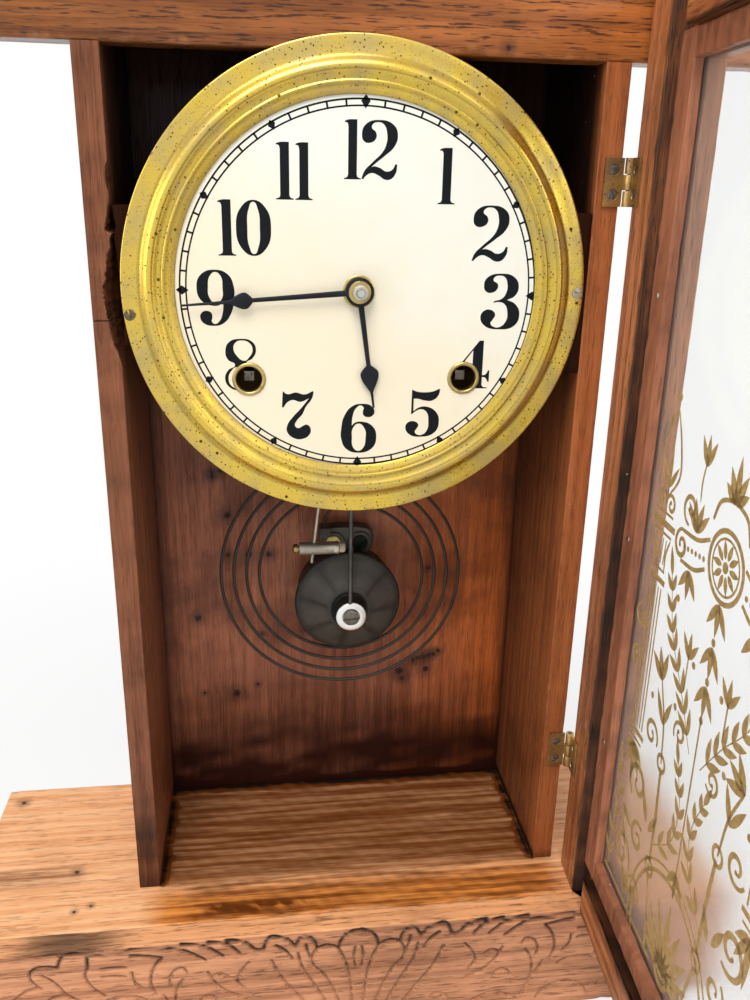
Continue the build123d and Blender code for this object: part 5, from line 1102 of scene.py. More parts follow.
# %% Hands
def hand(angle, length, spade, spade_r, boss, y_front, y_back):
    """A crowned blade along +X turned clockwise by `angle` from three o'clock, and a boss with a hole for the arbor."""
    t = np.unique(np.concatenate([np.linspace(2.0, length, 70), spade + spade_r * np.linspace(-2.2, 4, 50)]))
    t = t[t <= length]
    stem = np.interp(t, [0, spade, length], [1.3, 0.85, 0.42])
    rise = np.clip((t - spade + 1.25 * spade_r) / (1.3 * spade_r), 0, 1)
    fall = np.clip((t - spade) / (2.9 * spade_r), 0, 1)
    swell = np.where(t < spade, np.sin(rise * np.pi / 2) ** 1.4, np.cos(fall * np.pi / 2) ** 2.2) * (rise > 0)
    half = np.maximum(stem, spade_r * swell)
    s = np.array([-1, -0.8, -0.4, 0, 0.4, 0.8, 1.0])
    crown = y_front + (y_back - y_front) * np.array([0.8, 0.3, 0.06, 0, 0.06, 0.3, 0.8])
    across = np.concatenate([s, [1, -1]])
    depth = np.concatenate([crown, [y_back, y_back]])
    a = math.radians(angle)
    x, z = t[:, None] + 0 * across, half[:, None] * across
    blade = np.stack([x * math.cos(a) + z * math.sin(a), depth + 0 * x, DIAL_Z - x * math.sin(a) + z * math.cos(a)], -1)
    top, bottom = -y_front, -y_back
    ring = [(1.75, bottom), (1.75, top), (boss - 0.35, top), (boss, top - 0.25), (boss, bottom)]
    return [tube_shell(blade), tube_shell(turned(ring, (0, 0, DIAL_Z), count=64), closed=True)]


piece("hour_spade", hand(82.0, 50.0, 35.0, 4.0, 5.0, -26.8, -26.2), HAND_STEEL, "hour", ["hour_hand"])
piece("minute_spade", hand(175.5, 74.0, 47.7, 3.4, 6.0, -28.2, -27.6), HAND_STEEL, "minute",
      ["minute_hand"])

# %% Nut, washer and eyelet
KNURLS = 22
nut_profile = [(1.75, 28.7), (3.0, 28.7), (3.3, 28.95), (3.3, 31.9), (3.0, 32.4), (2.2, 32.5), (1.75, 32.3)]
knurl_rows = np.array([0, 0, 1, 1, 0.4, 0, 0])
nut = turned(nut_profile, (0, 0, DIAL_Z), count=KNURLS * 6,
             ripple=lambda a, row: 0.16 * np.cos(KNURLS * a) * knurl_rows[row])
piece("knurled_nut", [tube_shell(nut, closed=True)], NICKEL, "minute", ["hand_nut"], angle=50)
washer_profile = [(1.75, 28.2), (4.4, 28.2), (4.7, 28.35), (4.65, 28.55), (4.35, 28.7), (1.75, 28.7)]
piece("nut_washer", [tube_shell(turned(washer_profile, (0, 0, DIAL_Z), count=64), closed=True)], GROMMET_BRASS,
      "minute", ["hand_washer"])
eyelet = [(5.1, 24.2), (5.1, 24.75), (5.5, 25.1), (6.2, 25.15), (6.8, 24.8), (6.85, 24.42), (5.6, 24.38)]
piece("centre_eyelet", [tube_shell(turned(eyelet, (0, 0, DIAL_Z), count=64), closed=True)], GROMMET_BRASS,
      "case")

# %% [markdown]
# ## Gong, pendulum rod and hammer
# The strike hits a coil of steel wire that is pinned into an iron casting. The casting is a fluted dome with a lug for
# two screws. A dome is a turned profile, and its flutes are a ripple of the radius that fades at rim and boss. The coil
# is half turns of growing radius round two centres, one wire carried along them.

# %% Gong
GONG = np.array([2.8, 0.0, 191.5])
FLUTES, DOME_STEPS = 8, 240
dome_profile = [(26.6, -54), (27.0, -47), (28.2, -40), (28.8, -38), (28.9, -36.6), (28.4, -35.6), (27.6, -35.2),
                (26.8, -35.0), (24.6, -33.9), (21.4, -32.0), (18.2, -30.0), (15.2, -28.1), (12.9, -26.6), (11.4, -25.8),
                (10.4, -25.5), (9.8, -25.7), (9.0, -26.0), (8.5, -25.6), (8.2, -24.6), (8.0, -20.4), (7.6, -18.4),
                (7.0, -18.1), (4.0, -18.0), (0.2, -18.0)]
dome_rows = np.arange(len(dome_profile))
flute_rows = np.interp(dome_rows, [0, 6, 8, 11, 12, 13, 23], [0, 0, 1, 1, 0.7, 0, 0])


def ridge(a):
    """1 along the ridge of a flute and 0 in the valley between two, at angle a."""
    return np.abs(np.sin(FLUTES / 2 * a + 0.5))


dome = turned(dome_profile, GONG, count=DOME_STEPS, ripple=lambda a, row: 1.2 * (ridge(a) ** 0.8 - 1) * flute_rows[row])
valley = patch(ridge(np.linspace(0, 2 * np.pi, DOME_STEPS, endpoint=False)), 0, 0.45)
# painted shade: the dome goes dark on its side wall and rim, in the hollow round its boss and, less, in the valleys
# between the flutes; its face gets a slight even darkening
dome_shade = np.interp(dome_rows, [0, 2, 4, 6, 7, 8, 11, 13, 15, 19], [1, 1, 0.7, 0.85, 0.75, 0.25, 0.2, 0.6, 1, 1])
dome_shade = np.clip(dome_shade[:, None] + 0.5 * flute_rows[:, None] * valley, 0, 1)

# %% Lug and casting
LUG_FOOT, LUG_TOP, LUG_ROUND, LUG_HALF, LUG_ROWS = 196.0, 231.5, 8.0, 15.8, 40


def lug_outline(rows):
    """Half width of the lug over its height: sides with a slight waist, rounded off to the top."""
    z = np.linspace(0, 1, rows) ** 0.7 * (LUG_TOP - LUG_FOOT) + LUG_FOOT
    over = ramp(z, LUG_TOP - LUG_ROUND, LUG_TOP)
    return z, LUG_HALF - 2.6 * patch(z, 216.0, 7.0) - LUG_ROUND * (1 - np.sqrt(np.maximum(1 - over**2, 0)))


lug_z, lug_half = lug_outline(LUG_ROWS)
lug_low, lug_high = (np.stack([GONG[0] + side * lug_half, np.full(LUG_ROWS, y)], -1)
                     for side, y in ((-1, 45.0), (1, CASE_REAR)))
lug, _ = board(2, lug_z, lug_low, lug_high, 1.6, 81, 4, chips=2, end=0.4, wave=0.05)
socket, _ = plank((-12.5, 37, 228.7), (-6.5, 47, 234), 1, 0.7, 82, 2, 2, chips=1)
LUG_SCREWS = [np.array([x, 45.0, 222.5]) for x in (-4.4, 10.0)]
boss_profile = [(4.6, -0.6), (4.6, 0.9), (5.0, 1.3), (5.9, 1.2), (6.6, 0.6), (6.9, -0.6)]
bosses = [tube_shell(turned(boss_profile, c, count=48), closed=True) for c in LUG_SCREWS]
casting = [tube_shell(dome), tube_shell(lug), tube_shell(socket), *bosses]
# the lug, socket and bosses get a slight even darkening
casting_shade_and_tone = np.concatenate([dome_shade.ravel(), *(np.full(len(points), 0.15) for points, _ in casting[1:])])
piece("gong_casting", casting, GONG_IRON, "case", ["gong_block"], marks={"soot_and_shade": casting_shade_and_tone})

# %% Coil and gong screws
COIL_X, COIL_Y, COIL_WIRE, HALF_TURNS, HALF_STEPS = 1.5, 40.0, 0.85, 8, 71
turns = []
for half in range(HALF_TURNS):
    centre_z, radius = (204.0, 207.4)[half % 2], 43.0 + 3.4 * half
    a = np.radians(np.linspace(90, -90, HALF_STEPS + 1) - 180 * half)
    line = np.stack([COIL_X + radius * np.cos(a), COIL_Y + 0 * a, centre_z + radius * np.sin(a)], -1)
    turns.append(line if half == HALF_TURNS - 1 else line[:-1])
a = np.radians(np.linspace(180, 90, 16))[:-1]
bend = np.stack([COIL_X + 11 * np.cos(a), COIL_Y + 0 * a, 236 + 11 * np.sin(a)], -1)
coil = np.concatenate([[[-9.5, COIL_Y, 230.0], [-9.5, COIL_Y, 234.0]], bend, *turns])
piece("gong_coil_wire", [tube_shell(wire(coil, COIL_WIRE, 12))], COIL_STEEL, "case", ["gong_coil"])

GONG_TOP = GONG + [0, 16.5, 0]
piece("gong_centre_screw", [screw_head(GONG_TOP, FRONT, 4.2, 2.2, math.pi / 2 + 0.1, 0.15, 0.35),
                            screw_shank(GONG_TOP, FRONT, 2, 15)], SCREW_STEEL, "case", ["gong_screw"])
ring_profile = [(2.6, -18.0), (7.6, -18.0), (8.0, -17.7), (7.9, -16.8), (7.5, -16.5), (4.7, -16.5), (4.3, -16.9),
                (2.6, -16.9)]
piece("gong_ring", [tube_shell(turned(ring_profile, GONG, count=72), closed=True)], WASHER_NICKEL, "case",
      ["gong_washer"])
for at, spin, name, finish, nodes in ((LUG_SCREWS[0], 0.7, "gong_left_screw", GROMMET_BRASS, ["gong_mounting_screws"]),
                                      (LUG_SCREWS[1], 2.2, "gong_right_screw", HOLE_BLACK, [])):
    piece(name, [screw_head(at, FRONT, 4.2, 1.2, spin), screw_shank(at, FRONT, 2, 14.5)], finish, "case",
          nodes)

# %% Pendulum rod and hammer head
ROD_Y, ROD_TOP, ROD_END, ROD_R = -4.0, 347.0, 209.0, 1.1
rod_z = np.concatenate([np.linspace(ROD_TOP - 1.6, ROD_END + 0.8, 30), [ROD_END + 0.3, ROD_END + 0.02]])
rod_r = np.concatenate([np.full(30, ROD_R), [ROD_R * 0.85, ROD_R * 0.45]])
rod = wire(np.stack([0 * rod_z, ROD_Y + 0 * rod_z, rod_z], -1), rod_r, 16)
eye_profile = [(1.3, 2.6), (2.1, 2.6), (2.3, 3.0), (2.3, 5.0), (2.1, 5.4), (1.3, 5.4)]
eye = turned(eye_profile, (0, 0, ROD_TOP), count=32)
piece("pendulum_wire", [tube_shell(rod), tube_shell(eye, closed=True)], DARK_STEEL, "pendulum",
      ["pendulum_rod"])

HEAD = np.array([0.0, 25.0, 228.0])
LEFTWARD = np.array([[0, 1, 0], [0, 0, 1], [-1, 0, 0]], float)
tube_profile = [(0.05, 3.2), (2.9, 3.2), (3.4, 3.6), (3.4, 6.0), (3.25, 6.2), (3.4, 6.4), (3.4, 23.3), (3.1, 23.9),
                (2.4, 24.0), (0.05, 24.0)]
button_profile = [(0.05, 23.7), (1.5, 23.8), (1.5, 24.6), (2.4, 24.8), (2.5, 25.4), (2.3, 26.8), (1.5, 27.4),
                  (0.05, 27.5)]
pad_profile = [(0.05, -0.2), (1.6, -0.15), (2.3, 0.2), (2.6, 0.9), (2.6, 3.2), (0.05, 3.2)]
for name, profile, count, finish, slot, nodes in (
        ("hammer_tube", tube_profile, 48, NICKEL, "nickel", ["hammer_head"]),
        ("hammer_button", button_profile, 40, GROMMET_BRASS, "aged_brass", []),
        ("hammer_pad", pad_profile, 40, LEATHER, "pale_leather", ["hammer_tip"])):
    piece(name, [tube_shell(turned(profile, HEAD, LEFTWARD, count))], finish, "hammer", nodes)

# %% [markdown]
# ## The door
# The door hangs open on its two hinges. It is easier to build shut, square to the case, and then swing about the hinge
# line by the angle of the photograph. Stiles and rails have a rebate for the glass, so their section is an L, carried
# along the length with softened corners. Thin fillets, nailed in, hold the pane.

# %% Hinge line
PIN_X, PIN_Y, OPEN = 112.6, -26.4, math.radians(86.4)


def swing(points):
    """Turns points of the shut door about the upright hinge line to where the door stands open."""
    d = np.asarray(points, float) - [PIN_X, PIN_Y, 0]
    c, s = math.cos(OPEN), math.sin(OPEN)
    return d @ np.array([[c, s, 0], [-s, c, 0], [0, 0, 1]]) + [PIN_X, PIN_Y, 0]


print("free edge of the door:", swing([-CASE_X, PIN_Y, 0]).round(1))

# %% Section of the frame
DOOR_Y0, DOOR_Y1, REBATE_Y, GLASS_BACK, FILLET_BACK = -45.8, -27.8, -38.8, -36.8, -32.3
DOOR_Z0, DOOR_Z1, SIGHT_X, REBATE_X = 63.0, 482.5, 73.6, 87.6
SIGHT_Z, REBATE_Z = (93.1, 451.9), (82.6, 462.4)


def soft_section(corners, radius, seed, run, step):
    """A polygon (n, 2) with rounded corners and rows of points along its sides, uneven from station to station.
    Each corner is a short curve between points `radius` away on both sides: (1-t)^2 a + 2t(1-t) corner + t^2 b."""
    corners = np.asarray(corners, float)
    rows, wear = [], []
    for i, corner in enumerate(corners):
        before, after = corners[i - 1] - corner, corners[(i + 1) % len(corners)] - corner
        lb, la = np.linalg.norm(before), np.linalg.norm(after)
        r = np.minimum(chipped(run, radius, seed * 10 + i, 6), 0.4 * min(lb, la))[:, None, None]
        t = np.linspace(0, 1, ARC_STEPS)[None, :, None]
        a, b = corner + r * before / lb, corner + r * after / la
        rows.append((1 - t) ** 2 * a + 2 * t * (1 - t) * corner + t**2 * b)
        f = side_steps(la, step)
        rows.append(np.broadcast_to((corner + f[:, None] * after)[None], (len(run), len(f), 2)))
        wear += [np.ones(ARC_STEPS), np.exp(-np.minimum(f, 1 - f) * la / WEAR_REACH)]
    return np.concatenate(rows, 1), np.tile(np.concatenate(wear), (len(run), 1))


def frame_member(corners, axis, begin, end, seed):
    """A stile (axis 2) or rail (axis 0): the L-shaped section carried from begin to end."""
    run = np.linspace(begin, end, int((end - begin) / 5))
    section, wear = soft_section(corners, 0.6, seed, run, 1.5)
    across = section[..., 0]
    along = run[:, None] + 0 * across
    parts = (along, section[..., 1], across) if axis == 0 else (across, section[..., 1], along)
    return np.stack(parts, -1), wear


def dirt_line(rings, across, limit, outward):
    """Soot of a door member: the wall of its rebate is black with old glue, and the back face a little beside it.
    `across` is the coordinate that runs over the member and `limit` where the rebate's wall stands."""
    off = (across - limit) * outward
    along = rings[..., 2] + rings[..., 0]
    wall = (off < 0.4) & (off > -2) & (rings[..., 1] > REBATE_Y + 0.6)
    beside = (rings[..., 1] > DOOR_Y1 - 0.9) * np.clip((2.0 + 1.5 * wobble(along / 9, 7) - off) / 1.2, 0, 1)
    lip = 0.5 * (off < -0.6) * (np.abs(rings[..., 1] - REBATE_Y) < 0.8)
    wall = np.maximum(wall, lip)
    old_glue = np.interp(rings[..., 2], [280, 420], [0.9, 0.66]) + 0.1 * wobble(along / 14, 9)
    return np.clip(np.maximum(wall * old_glue, 0.8 * beside), 0, 0.97)


# %% Stiles and rails
stile_l = [(CASE_X, DOOR_Y0), (CASE_X, DOOR_Y1), (REBATE_X, DOOR_Y1), (REBATE_X, REBATE_Y), (SIGHT_X, REBATE_Y),
           (SIGHT_X, DOOR_Y0)]
for side, name, seed in ((1, "hinge", 91), (-1, "latch", 92)):
    rings, wear = frame_member(stile_l, 2, DOOR_Z0, DOOR_Z1, seed)
    soot_and_shade = dirt_line(rings, rings[..., 0], REBATE_X, 1)
    rings[..., 0] *= side
    board_piece(f"{name}_stile", [(rings, wear)], STILE_OAK, "door", [f"door_{name}_stile"],
                soot_and_shade=soot_and_shade.ravel(), move=swing)
for name, seed, outer, inner, sight in (("top", 93, DOOR_Z1, REBATE_Z[1], SIGHT_Z[1]),
                                        ("bottom", 94, DOOR_Z0, REBATE_Z[0], SIGHT_Z[0])):
    rail_l = [(outer, DOOR_Y0), (outer, DOOR_Y1), (inner, DOOR_Y1), (inner, REBATE_Y), (sight, REBATE_Y),
              (sight, DOOR_Y0)]
    rings, wear = frame_member(rail_l, 0, -SIGHT_X, SIGHT_X, seed)
    soot_and_shade = dirt_line(rings, rings[..., 2], inner, 1 if name == "top" else -1)
    board_piece(f"{name}_rail", [(rings, wear)], RAIL_OAK, "door", [f"door_{name}_rail"],
                soot_and_shade=soot_and_shade.ravel(), move=swing)

# %% Fillets and nails
fillets = [plank((x0, GLASS_BACK, z0), (x1, FILLET_BACK, z1), axis, 0.9, seed, 5, 5, chips=6, end=0.4)
           for x0, x1, z0, z1, axis, seed in (
               (-REBATE_X, -SIGHT_X, *REBATE_Z, 2, 95), (SIGHT_X, REBATE_X, *REBATE_Z, 2, 96),
               (-SIGHT_X, SIGHT_X, REBATE_Z[0], SIGHT_Z[0], 0, 97),
               (-SIGHT_X, SIGHT_X, SIGHT_Z[1], REBATE_Z[1], 0, 98))]


def fillet_dirt(rings):
    """Soot of a fillet: faint clouds, and an uneven black line where it meets the stile."""
    x, z = rings[..., 0], rings[..., 2]
    clouds = 0.3 * np.clip(0.3 + 0.6 * wobble(z / 18 + x / 9, 99), 0, 1)
    return np.maximum(clouds, 0.85 * np.clip((np.abs(x) - REBATE_X + 1.2 + wobble(z / 11, 100)) / 0.6, 0, 1)).ravel()


board_piece("fillet_strips", fillets, FILLET_WOOD, "door", ["glass_fillets"],
            soot_and_shade=np.concatenate([fillet_dirt(rings) for rings, _ in fillets]), move=swing)
BACKWARD = np.array([[-1, 0, 0], [0, 0, 1], [0, 1, 0]], float)
NAILS = [(x, z) for x in (80.5, -80.5) for z in (366.7, 158.2, 262.0)]
nail_profile = [(1.25, -0.2), (1.25, 0.1), (1.0, 0.32), (0.5, 0.42), (0.03, 0.45)]
nails = [tube_shell(swing(turned(nail_profile, (x, FILLET_BACK, z), BACKWARD, 20))) for x, z in NAILS]
piece("fillet_nails", nails, BRIGHT_STEEL, "door")

# %% Glass
glass_u, glass_v = np.linspace(-REBATE_X, REBATE_X, 60), np.linspace(*REBATE_Z, 120)
gx, gz = np.meshgrid(glass_u, glass_v, indexing="ij")
ripple = 0.05 * wobble(gx / 24 + 1.3 * wobble(gz / 60, 101), 102)
pane_rings = np.concatenate([np.stack([gx, REBATE_Y + 0.08 + ripple, gz], -1),
                             np.stack([gx, GLASS_BACK - 0.08 + ripple, gz], -1)[:, ::-1]], axis=1)
piece("glass_pane", [tube_shell(swing(pane_rings))], PANE, "door", ["door_glass"], angle=60)

# %% [markdown]
# ## Gilt ornament on the glass
# Shelf clocks of this kind have a gilt pattern on the lower half of the pane: slim columns, sprigs, scrolls and beads.
# This one is drawn new and is the same on both sides of the middle. Every stroke is a ribbon: a flat rectangle carried
# along a line on the back of the glass, as wide as the stroke is there. Leaves are ribbons that swell and close.

# %% Strokes
GILT_Y, GILT_T = GLASS_BACK + 0.02, 0.06


def ribbon(line, half):
    """A flat gilt stroke along line (n, 2) in the pane's plane, `half` wide to each side at each point."""
    line = np.asarray(line, float)
    d = np.gradient(line, axis=0)
    d /= np.maximum(np.linalg.norm(d, axis=1, keepdims=True), 1e-9)
    side = np.stack([-d[:, 1], d[:, 0]], -1) * np.broadcast_to(half, len(line))[:, None]
    a, b = line - side, line + side
    y0, y1 = np.full(len(line), GILT_Y), np.full(len(line), GILT_Y + GILT_T)
    corners = [np.stack([p[:, 0], y, p[:, 1]], -1) for p, y in ((a, y0), (b, y0), (b, y1), (a, y1))]
    return tube_shell(swing(np.stack(corners, 1)))


def stroke(points, wide=0.45, taper=0.35, count=24):
    """A pen stroke through points: full width in the middle, `taper` of it at both ends."""
    t = np.linspace(0, 1, count)
    return ribbon(smooth_path(points, count), wide * (taper + (1 - taper) * np.sin(np.pi * t) ** 0.6))


def gilt_leaf(x, z, angle, length, wide, bend=0.0):
    """A leaf from its root: a line that bends by `bend` of its length, swelling as sin(t)^0.9 and ending in a point."""
    t = np.linspace(0, 1, 14)
    a = math.radians(angle)
    u, v = length * t, bend * length * t**2
    line = np.stack([x + u * math.cos(a) - v * math.sin(a), z + u * math.sin(a) + v * math.cos(a)], -1)
    return ribbon(line, 0.85 * wide * np.maximum(np.sin(np.pi * t**0.8) ** 0.9, 0.04))


def gilt_ring(x, z, radius, wide=0.4):
    """A closed ring, drawn as a ribbon that meets itself."""
    a = np.linspace(0, 2 * np.pi, 28)
    return ribbon(np.stack([x + radius * np.cos(a), z + radius * np.sin(a)], -1), wide)


def gilt_dot(x, z, radius):
    """A bead: a short ribbon whose width is a half circle."""
    t = np.linspace(-1, 1, 10)
    return ribbon(np.stack([x + radius * t, z + 0 * t], -1), radius * np.sqrt(np.maximum(1 - t**2, 0.002)))


def volute(x, z, radius, begin, sweep, wide=0.55):
    """A scroll that shrinks to a bead."""
    line = scroll(x, z, radius, begin, sweep, 0.78, 34)
    t = np.linspace(0, 1, 34)
    return [ribbon(line, wide * (0.35 + 0.65 * np.sin(np.pi * (0.15 + 0.8 * t)))), gilt_dot(*line[-1], 0.95)]


LEAF_SPREAD = 38  # degrees between a sprig's stem and its leaves


def sprig(points, leaves, length, wide):
    """A stem with pairs of leaves that lean forward along it and one leaf at the tip."""
    line = smooth_path(points, 60)
    made = [ribbon(line, 0.28)]
    for share in np.linspace(0.12, 0.94, leaves):
        k = int(share * 58)
        heading = math.degrees(math.atan2(*(line[k + 1] - line[k])[::-1]))
        size = length * (1 - 0.35 * share)
        made += [gilt_leaf(*line[k], heading + s * LEAF_SPREAD, size, wide, -s * 0.12) for s in (1, -1)]
    heading = math.degrees(math.atan2(*(line[-1] - line[-4])[::-1]))
    return made + [gilt_leaf(*line[-1], heading, length, wide)]


def mirrored(shells_of):
    """Runs a drawing for the right half and again with x turned round."""
    return [shell for side in (1, -1) for shell in shells_of(side)]


# %% Columns
COLUMN_X = 55.5


def column(side):
    """A fluted column near the edge: foot, five lines of shaft, bell capital and a leaf-shaped finial."""
    x = side * COLUMN_X
    made = [stroke([(x + o, 184), (x + o, 252)], 0.55, 0.95, 8) for o in (-5.6, -2.8, 0, 2.8, 5.6)]
    for z, half, wide in ((181, 8.4, 1.2), (177, 6.6, 0.6), (255, 8.2, 1.3), (259.5, 6.4, 0.6), (275, 8.8, 0.6),
                          (279, 11.2, 1.5), (283.5, 8.0, 0.6)):
        made.append(stroke([(x - half, z), (x + half, z)], wide, 0.95, 8))
    made += [stroke([(x + s * 5.8, 260), (x + s * 5.4, 267), (x + s * 8.2, 274)], 0.8) for s in (1, -1)]
    made += [stroke([(x + o, 262), (x + 1.3 * o, 273)], 0.45, 0.9, 8) for o in (-3.6, -1.2, 1.2, 3.6)]
    made += volute(x - 4.6, 288, 4.6, 0, 420, 0.9) + volute(x + 4.6, 288, 4.6, 180, -420, 0.9)
    made += [stroke([(x, 290), (x + s * 9.0, 301), (x + s * 6.4, 314), (x, 327)], 0.8) for s in (1, -1)]
    made += [gilt_leaf(x, 294, 90 + a, 20 - abs(a) / 5, 1.7) for a in (-36, 0, 36)] + [gilt_dot(x, 331, 1.8)]
    made += volute(x + side * 10.5, 232, 6.0, 90, -side * 430, 1.0)
    made += volute(x + side * 10.5, 214, 5.0, 270, side * 430, 0.9)
    made += [gilt_leaf(x, 175, 270 + a, 21 - abs(a) / 6, 2.4) for a in (-58, -30, 0, 30, 58)]
    return made


print("strokes of a column:", len(column(1)))

# %% Bracket
def band(side):
    """Half of the bracket: from the middle rosette a beaded arm runs out and ends in a scroll, with a bud above it."""
    made = [stroke([(side * 14, 288), (side * 24, 284), (side * 37, 283)], 0.9, 0.85),
            stroke([(side * 15, 276), (side * 24, 272), (side * 36, 271)], 0.9, 0.85)]
    made += [gilt_dot(side * x, 279.6 - 0.12 * (x - 14), 1.1) for x in np.linspace(17, 34, 6)]
    made += volute(side * 37, 277, 6.2, 90, -side * 470, 1.1) + volute(side * 33, 293, 6.6, 270, side * 420, 1.0)
    made += [gilt_leaf(side * 26, 286, 90 + a, 13, 2.2) for a in (-44, -16, 16, 44)]
    made += [stroke([(side * 26, 298), (side * 26.5, 306), (side * 25, 314)], 0.6)]
    made += [gilt_leaf(side * 25, 312, 90 + a, 12, 2.0) for a in (-30, 0, 30)]
    made += [gilt_leaf(side * 27, 270, 270 + a, 12, 2.3) for a in (-40, 0, 40)]
    made += [stroke([(side * 14, 296), (side * 10, 304), (0, 307.5)], 0.9, 0.8)]
    return made


print("strokes of half the bracket:", len(band(1)))

# %% Sprigs
def sprigs(side):
    """Leafy branches that hang between bracket and foot, and a flower on its stalk beside the column."""
    made = sprig([(side * 5, 204), (side * 18, 222), (side * 33, 240), (side * 41, 262)], 8, 12, 2.0)
    made += sprig([(side * 24, 146), (side * 9, 160), (side * 6, 178), (side * 12, 194)], 6, 11, 1.9)
    made += [stroke([(side * 27, 184), (side * 30, 202), (side * 37, 218)], 0.8, 0.6)]
    made += [gilt_leaf(side * 37, 217, 68 * side + (90 if side < 0 else 0) + a, 14, 2.6) for a in (-34, 0, 34)]
    made += [gilt_leaf(side * 31, 200, 90 + side * a, 15, 2.2) for a in (-36, 24)]
    made += volute(side * 40, 190, 7.0, 200, -side * 430, 1.1) + volute(side * 15, 206, 5.6, 320, side * 430, 0.9)
    made += [gilt_dot(side * x, z, 1.5) for x, z in ((44, 206), (22, 214), (12, 238), (33, 256))]
    made += [gilt_leaf(side * 17, 238, 90 + a, 11, 1.9) for a in (-38, 0, 38)]
    return made + [stroke([(side * 17, 224), (side * 17, 240)], 0.55, 0.8, 8)]


print("strokes of the sprigs on one side:", len(sprigs(1)))

# %% Feet
def feet(side):
    """Staffs with knobs, scrolls and leaves between the column's foot and the bottom rail."""
    made = [stroke([(side * 26.5, 182), (side * 25, 160), (side * 24.5, 137)], 1.2, 0.85),
            stroke([(side * 24, 130), (side * 20, 112), (side * 18, 97)], 1.0, 0.85)]
    made += [gilt_ring(side * 27, 184, 3.6, 0.9), gilt_ring(side * 24.5, 134, 3.8, 0.9),
             gilt_dot(side * 24.5, 134, 1.5)]
    made += volute(side * 46, 160, 10.0, 300, side * 440, 1.4) + volute(side * 40, 136, 7.6, 120, -side * 420, 1.2)
    made += volute(side * 54, 118, 10.0, 200, -side * 440, 1.4) + volute(side * 36, 110, 7.0, 20, side * 420, 1.1)
    made += sprig([(side * 68, 98), (side * 69, 118), (side * 64, 138), (side * 67, 156)], 5, 11, 1.9)
    made += [gilt_leaf(side * x, z, a if side > 0 else 180 - a, 14, 2.4) for x, z, a in (
        (46, 102, 100), (46, 102, 60), (46, 102, 140), (30, 148, 120), (33, 150, 60), (60, 140, 200), (58, 134, 240))]
    return made + [stroke([(side * 72, 96.5), (side * 40, 96.5), (side * 12, 96.5)], 0.9, 0.95)]


print("strokes of the foot on one side:", len(feet(1)))

# %% Middle
def garland():
    """The middle: a rosette in its ring, a drop of bell flowers, and a fan of lobes over the bottom rail."""
    made = [gilt_ring(0, 283, 13.0, 1.0), gilt_ring(0, 283, 10.2, 0.5), gilt_dot(0, 283, 2.2)]
    made += [gilt_leaf(3.0 * math.cos(q), 283 + 3.0 * math.sin(q), math.degrees(q), 7.0, 1.6)
             for q in np.linspace(0, 2 * np.pi, 10, endpoint=False)]
    made += [gilt_leaf(0, z, 270 + a, 13, 2.2) for z in (269, 252, 236) for a in (-36, 0, 36)]
    made += [gilt_dot(0, z, 1.6) for z in (254, 238, 222)] + [stroke([(0, 224), (0, 180), (0, 140)], 0.6, 0.9, 10)]
    made += [gilt_leaf(0, 306, 90 + a, 17 - abs(a) / 8, 2.4) for a in (-56, -28, 0, 28, 56)]
    made += [gilt_leaf(0, 102, 90 + a, 34 - abs(a) / 7, 3.0) for a in range(-84, 85, 21)]
    made += [gilt_ring(0, 102, 6.4, 1.2), gilt_dot(0, 102, 3.0)]
    arch_a = np.radians(np.linspace(-20, 200, 40))
    made += [ribbon(np.stack([r * np.cos(arch_a), 104 + 1.1 * r * np.sin(arch_a)], -1), w)
             for r, w in ((36, 0.9), (40, 0.6))]
    return made + [gilt_leaf(0, 152, 270 + a, 12, 2.2) for a in (-40, 0, 40)]


# %% All strokes
gilt = garland() + [shell for drawing in (column, band, sprigs, feet) for shell in mirrored(drawing)]
piece("gilt_ornament", gilt, GILDING, "door")

# %% [markdown]
# ## Screws, hook and catch
# Small fastenings tell how a thing is held together: slotted screws in the bezel and the hinges, a hook on the door's
# free edge and the pin that it catches. The hinge leaves, the hook and the movement are already right in the CAD model,
# so they stay and get their metal, and the hinge leaves, the hook and the winding arbors also a fine bevel.

# %% Screws
dial_screws = []
for x, z, spin in ((-94.5, 354.1, 0.35), (95.0, 364.0, 1.1)):
    spot = (x, CASE_FRONT - 0.75, z)
    dial_screws += [screw_head(spot, FRONT, 2.3, 0.75, spin, 0.18, 0.97), screw_shank(spot, FRONT, 1.1, 11)]
piece("bezel_screws", dial_screws, AGED_SCREW, "case", ["dial_screws"],
      marks={"soot_and_shade": np.repeat([1.0, 1.0, 0.1, 0.1], [len(points) for points, _ in dial_screws])})
hinge_places = [(106.1, z + d) for z in (132.0, 409.5) for d in (-5.0, 5.0)]
case_screws, door_screws = [], []
for i, (x, z) in enumerate(hinge_places):
    spot = (x, CASE_FRONT - 0.42, z)
    case_screws += [screw_head(spot, FRONT, 2.15, 0.75, 0.9 + 1.3 * i), screw_shank(spot, FRONT, 1.1, 8.5)]
    head, faces = screw_head((x, DOOR_Y1 + 0.42, z), BACKWARD, 2.15, 0.75, 0.3 + 1.7 * i)
    shank, shank_faces = screw_shank((x, DOOR_Y1 + 0.42, z), BACKWARD, 1.1, 8.5)
    door_screws += [(swing(head), faces), (swing(shank), shank_faces)]
piece("case_leaf_screws", case_screws, SCREW_STEEL, "case", ["case_hinge_screws"])
piece("door_leaf_screws", door_screws, SCREW_STEEL, "door", ["door_hinge_screws"])

